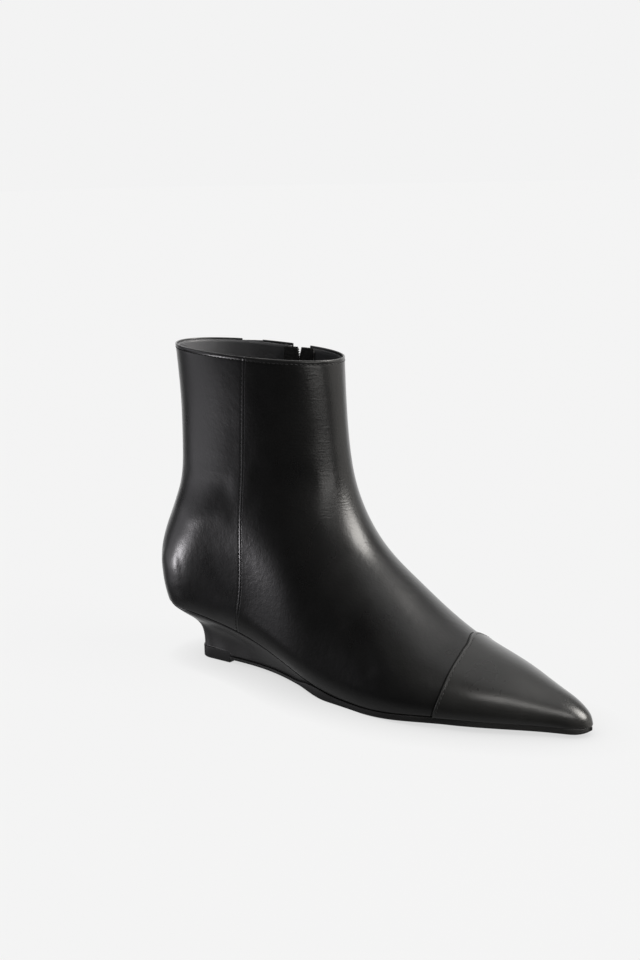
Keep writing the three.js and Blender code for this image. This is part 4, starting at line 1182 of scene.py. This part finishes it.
def leather(name, color, roughness, specular=0.4, depth=0.00005, has_masks=True):
    """Smooth calf: fine pebbled grain, an uneven surface, cloudy gloss, edges lighter as rubbed wear and
    painted highlight, local fine wrinkles, painted shade behind the toe cap.
    """
    material, tree, shader = new_material(name)
    place = add(tree, "ShaderNodeTexCoord").outputs["Object"]
    inputs = {"Vector": place, "Scale": GRAIN, "Smoothness": 0.6}
    pebble = add(tree, "ShaderNodeTexVoronoi", inputs, feature="SMOOTH_F1").outputs["Distance"]
    pores = noise(tree, place, PORES, 3.0, 0.6)
    clouds = noise(tree, place, CLOUDS, 3.0, 0.55)
    streaks = noise(tree, place, STREAKS, 4.0, 0.6, (1.0, 1.0, 0.35))
    normal = bump(tree, math_node(tree, "MULTIPLY_ADD", pebble, 0.45, pores), depth, 0.8)
    normal = bump(tree, noise(tree, place, SWELL, 2.0, 0.5), depth * 2.2, 0.8, normal)
    tint = mix_colors(tree, remap(tree, clouds, 0.35, 0.75, 0.0, 0.5), color, brighter(color, 1.7, 0.003))
    cloudy = remap(tree, clouds, 0.3, 0.7, roughness - 0.03, roughness + 0.04)
    gloss = math_node(tree, "ADD", cloudy, remap(tree, streaks, 0.3, 0.7, -0.02, 0.04))
    if has_masks:
        lines = noise(tree, place, WRINKLES, 4.0, 0.62, (0.4, 0.4, 2.6))
        ridges = math_node(tree, "ABSOLUTE", math_node(tree, "SUBTRACT", lines, 0.5))
        fine = math_node(tree, "MULTIPLY", ridges, attribute(tree, "wrinkle"))
        normal = bump(tree, fine, WRINKLE_DEPTH, 0.4, normal)
        # Wear and painted highlight: edges are mixed toward a lighter colour, as rubbed leather and as the
        # sheen of their rounded rims
        rub_and_sheen_streaks = remap(tree, streaks, 0.3, 0.7, 0.35, 0.95)
        rubbed_and_sheen = math_node(tree, "MULTIPLY", attribute(tree, "edge"), rub_and_sheen_streaks, clamp=True)
        tint = mix_colors(tree, rubbed_and_sheen, tint, brighter(color, 3.0, 0.02))
        # Painted shade: a dark, rough band on the vamp just behind the toe cap's back edge, where the cap's
        # step shades it
        ahead = math_node(tree, "ABSOLUTE", attribute(tree, "cap_painted_shade_offset"))
        shaded = remap(tree, ahead, 0.0002, 0.0005, 1.0, 0.0)
        tint = mix_colors(tree, shaded, tint, CAP_PAINTED_SHADE_COLOR)
        gloss = math_node(tree, "MAXIMUM", gloss, shaded)
    settle(tree, shader, {
        "Base Color": tint, "Roughness": gloss, "Normal": normal, "Specular IOR Level": specular,
        "Coat Weight": 0.08, "Coat Roughness": 0.2,
    })
    return material


def plain(name, color, roughness, grain=0.0006, depth=0.00003, metallic=0.0, specular=0.4, speck=0.5):
    """Rubber, plastic or metal with a fine uneven surface and cloudy gloss."""
    material, tree, shader = new_material(name)
    place = add(tree, "ShaderNodeTexCoord").outputs["Object"]
    fine = noise(tree, place, 1 / grain, 4.0, 0.65)
    clouds = noise(tree, place, 45.0, 3.0, 0.6)
    settle(tree, shader, {
        "Base Color": mix_colors(tree, clouds, color, brighter(color, 1 + speck, 0.002)),
        "Roughness": remap(tree, clouds, 0.3, 0.7, roughness - 0.06, roughness + 0.08),
        "Normal": bump(tree, fine, depth, 0.6), "Metallic": metallic, "Specular IOR Level": specular,
    })
    return material


WEAVE_TURN = 0.78


def woven(name, color, pitch=0.00045, depth=0.00009, sheen=0.15):
    """Textile: two crossing waves of threads, with fuzz in its sheen."""
    material, tree, shader = new_material(name)
    place = add(tree, "ShaderNodeTexCoord").outputs["Object"]
    waves = []
    for turn in (WEAVE_TURN, -WEAVE_TURN):
        turned = add(tree, "ShaderNodeMapping", {"Vector": place, "Rotation": (0.0, turn, 0.0)}).outputs[0]
        inputs = {"Vector": turned, "Scale": 1 / pitch, "Distortion": 0.4}
        waves.append(add(tree, "ShaderNodeTexWave", inputs).outputs["Fac"])
    clouds = noise(tree, place, 300.0, 3.0)
    settle(tree, shader, {
        "Base Color": mix_colors(tree, clouds, color, brighter(color, 1.9, 0.004)),
        "Normal": bump(tree, math_node(tree, "MAXIMUM", *waves), depth, 0.8),
        "Roughness": 0.8, "Specular IOR Level": 0.2, "Sheen Weight": sheen, "Sheen Roughness": 0.5,
    })
    return material


calf = leather("calf", (0.008, 0.008, 0.0081), 0.29, 0.32)
quarter_calf = leather("quarter_calf", (0.009, 0.009, 0.0096), 0.28, 0.5, depth=0.00004)
# The toe cap's calf is paler than the vamp's: partly its own greyer tone, partly painted light standing in
# for light its flank does not catch
cap_calf_tone_and_painted_light = leather("cap_calf_tone_and_painted_light", (0.0135, 0.0135, 0.0132), 0.29, 0.38, depth=0.000035)
# The wedge's cover is the upper's calf with a far paler base colour: painted light standing in for the glow
# from the pale floor
wedge_calf_painted_glow = leather("wedge_calf_painted_glow", (0.034, 0.034, 0.0342), 0.4, 0.5, has_masks=False)
lining_leather = leather("lining_leather", (0.06, 0.061, 0.065), 0.6, 0.4, has_masks=False)
sock_leather = leather("sock_leather", (0.03, 0.0305, 0.032), 0.55, 0.4, has_masks=False)
rubber = plain("sole_rubber", (0.010, 0.010, 0.010), 0.55, 0.0005, 0.00006)
elastic = woven("gore_weave", (0.009, 0.009, 0.0095), 0.0004, 0.00006)
tape_weave = woven("tape_weave", (0.008, 0.008, 0.0085))
coil_nylon = plain("coil_nylon", (0.008, 0.008, 0.008), 0.32, 0.0003, 0.00001)
thread = woven("thread", (0.017, 0.017, 0.0175), 0.00012, 0.00003, 0.04)
black_metal = plain("black_metal", (0.012, 0.012, 0.013), 0.28, 0.0002, 0.000006, 0.6, 0.5)
silver_metal = plain("silver_metal", (0.5, 0.5, 0.51), 0.34, 0.0002, 0.000006, 1.0, 0.5, 0.08)


def finish(piece, material, replaced=(), body="boot"):
    piece.data.materials.clear()
    piece.data.materials.append(material)
    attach(piece, body)
    if replaced:
        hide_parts(*replaced)
    return piece


finish(make_vamp(), calf, ["upper"])
finish(make_quarter(), quarter_calf)
finish(make_lining(), lining_leather)
finish(make_toe_cap(), cap_calf_tone_and_painted_light, ["toe_cap"])
finish(make_wedge(), wedge_calf_painted_glow, ["wedge"])
finish(make_outsole(), rubber, ["outsole"])
finish(make_top_piece(), rubber, ["top_piece"])
finish(make_sock(), sock_leather, ["insole"])
finish(make_chain(), coil_nylon, ["zip_chain"])
finish(make_tape("tape_front", 1), tape_weave, ["zip_tape_front"])
finish(make_tape("tape_back", -1), tape_weave, ["zip_tape_back"])
finish(make_gore(), elastic, ["gore"])
for make_stitches in (make_collar_stitches, make_zip_stitches, make_seam_stitches, make_cap_stitches):
    finish(make_stitches(), thread)
for node, material in (
    ("zip_slider", black_metal),
    ("zip_pull", black_metal),
    ("zip_stop_front", silver_metal),
    ("zip_stop_back", silver_metal),
):
    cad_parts[node].data.materials.clear()
    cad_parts[node].data.materials.append(material)


# Stage, lights and camera
CAMERA_PLACE = Vector((0.5594, -0.6219, 0.2828))
CAMERA_AWAY = Vector((-0.6166, 0.7873, 0.0)).normalized()
CAMERA_TILT = math.radians(12.01)
CAMERA_ROLL = math.radians(1.26)
CAMERA_LENS = 54.0
PALE = 0.896
FLOOR_SHADE = 0.012
FLOOR_GLOW = 0.884
FLOOR_HALF = 30.0
# Painted contact shadow on the floor: its reach in metres, and the share of the glow left at its darkest
PAINTED_SHADOW_REACH = 0.028
PAINTED_SHADOW_LEVEL = 0.72


def bearing(azimuth, elevation):
    """Direction at an azimuth to the right of the camera's away direction, and an elevation, in degrees."""
    right = CAMERA_AWAY.cross(Vector((0, 0, 1)))
    a, e = math.radians(azimuth), math.radians(elevation)
    flat = CAMERA_AWAY * math.cos(a) + right * math.sin(a)
    return flat * math.cos(e) + Vector((0, 0, math.sin(e)))


def make_camera():
    camera = bpy.data.objects.new("camera", bpy.data.cameras.new("camera"))
    camera.data.lens = CAMERA_LENS
    camera.data.clip_end = 100
    away = CAMERA_AWAY * math.cos(CAMERA_TILT) - Vector((0, 0, math.sin(CAMERA_TILT)))
    right = away.cross(Vector((0, 0, 1))).normalized()
    up = right.cross(away)
    turned_right = right * math.cos(CAMERA_ROLL) - up * math.sin(CAMERA_ROLL)
    turned_up = right * math.sin(CAMERA_ROLL) + up * math.cos(CAMERA_ROLL)
    axes = Matrix((turned_right, turned_up, -away)).transposed()
    camera.matrix_world = Matrix.Translation(CAMERA_PLACE) @ axes.to_4x4()
    bpy.context.scene.collection.objects.link(camera)
    bpy.context.scene.camera = camera


def make_sun(name, azimuth, elevation, angle, strength, color):
    light = bpy.data.lights.new(name, "SUN")
    light.angle = math.radians(angle)
    light.energy = strength
    light.color = color
    lamp = bpy.data.objects.new(name, light)
    lamp.rotation_mode = "QUATERNION"
    lamp.rotation_quaternion = bearing(azimuth, elevation).to_track_quat("Z", "Y")
    bpy.context.scene.collection.objects.link(lamp)


def make_card(name, target, azimuth, elevation, distance, size, radiance, color):
    """Small lamp near the boot, a rectangle that faces a place on it."""
    light = bpy.data.lights.new(name, "AREA")
    light.shape = "RECTANGLE"
    light.size, light.size_y = size
    light.energy = radiance * math.pi * size[0] * size[1]
    light.color = color
    toward = bearing(azimuth, elevation)
    lamp = bpy.data.objects.new(name, light)
    lamp.location = Vector(target) + toward * distance
    lamp.rotation_mode = "QUATERNION"
    lamp.rotation_quaternion = toward.to_track_quat("Z", "Y")
    lamp.visible_camera = False
    bpy.context.scene.collection.objects.link(lamp)


def make_paper():
    """Pale paper of the backdrop's even tone, with a painted contact shadow under the boot: its glow is
    dimmed by ambient occlusion.
    """
    material, tree, shader = new_material("floor_paper")
    # Painted shadow: the floor's glow is dimmed where the boot is close
    painted_shadow_closeness = add(tree, "ShaderNodeAmbientOcclusion", {"Distance": PAINTED_SHADOW_REACH}, samples=6)
    glow = remap(tree, painted_shadow_closeness.outputs["AO"], 0.0, 1.0, FLOOR_GLOW * PAINTED_SHADOW_LEVEL, FLOOR_GLOW)
    settle(tree, shader, {
        "Emission Strength": glow, "Emission Color": (1, 1, 1, 1), "Base Color": (*[FLOOR_SHADE] * 3, 1),
        "Roughness": 1.0, "Specular IOR Level": 0.0,
    })
    return material


def make_stage():
    half = FLOOR_HALF
    mesh = bpy.data.meshes.new("floor")
    corners = [(-half, -half, 0), (half, -half, 0), (half, half, 0), (-half, half, 0)]
    mesh.from_pydata(corners, [], [(0, 1, 2, 3)])
    mesh.materials.append(make_paper())
    floor = bpy.data.objects.new("floor", mesh)
    bpy.context.scene.collection.objects.link(floor)
    floor.visible_glossy = False
    floor.visible_diffuse = False
    floor.visible_shadow = False


# Soft lights of the room: azimuth, elevation, half angle of the rim and of the full glow, radiance, tint
WARM, NEUTRAL, COOL = (1.0, 0.97, 0.925), (1.0, 1.0, 1.0), (0.99, 0.97, 1.02)
ROOM_LIGHTS = (
    (112, 41, 22, 12, 18.0, WARM),
    (92, 4, 42, 14, 1.0, WARM),
    (12, 0, 58, 24, 1.2, NEUTRAL),
    (-76, -3, 25, 8, 0.8, COOL),
    (0, -90, 66, 30, 0.4, NEUTRAL),
    (70, 80, 46, 20, 0.9, NEUTRAL),
)
ROOM_DIM = 0.035
KEY = ("key", 110, 44, 30, 0.4, (1.0, 0.975, 0.94))  # name, azimuth, elevation, angle, strength, tint
CARDS = (  # name, target, azimuth, elevation, distance, size, radiance, tint
    ("heel_card", (-0.031, -0.014, 0.058), -96, -7, 0.2, (0.045, 0.045), 20.0, (1.0, 0.97, 1.01)),
    ("toe_card", (0.2, -0.012, 0.016), 178, 39, 0.26, (0.2, 0.05), 6.5, (1.0, 0.98, 0.95)),
)


def make_world():
    """Room light: dim on the camera's left, a large soft box on its right, pale behind and below. The
    backdrop itself is seen in one pale tone."""
    world = bpy.data.worlds.new("room")
    bpy.context.scene.world = world
    world.use_nodes = True
    tree = world.node_tree
    direction = add(tree, "ShaderNodeTexCoord").outputs["Generated"]
    total = (ROOM_DIM,) * 3
    for azimuth, elevation, rim, full, glow, tint in ROOM_LIGHTS:
        inputs = {0: direction, 1: tuple(bearing(azimuth, elevation))}
        dot = add(tree, "ShaderNodeVectorMath", inputs, operation="DOT_PRODUCT").outputs["Value"]
        low, high = math.cos(math.radians(rim)), math.cos(math.radians(full))
        inputs = {"Value": dot, "From Min": low, "From Max": high, "To Max": glow}
        lobe = add(tree, "ShaderNodeMapRange", inputs, interpolation_type="SMOOTHSTEP").outputs[0]
        tinted = add(tree, "ShaderNodeVectorMath", {0: tint, "Scale": lobe}, operation="SCALE").outputs[0]
        total = add(tree, "ShaderNodeVectorMath", {0: tinted, 1: total}, operation="ADD").outputs[0]
    seen = add(tree, "ShaderNodeLightPath").outputs["Is Camera Ray"]
    tree.links.new(mix_colors(tree, seen, total, (PALE,) * 3), tree.nodes["Background"].inputs["Color"])


make_camera()
make_stage()
make_world()
make_sun(*KEY)
for card in CARDS:
    make_card(*card)
scene = bpy.context.scene
scene.view_settings.view_transform = "Standard"
scene.view_settings.look = "None"
scene.cycles.use_denoising = True
scene.cycles.max_bounces = 6
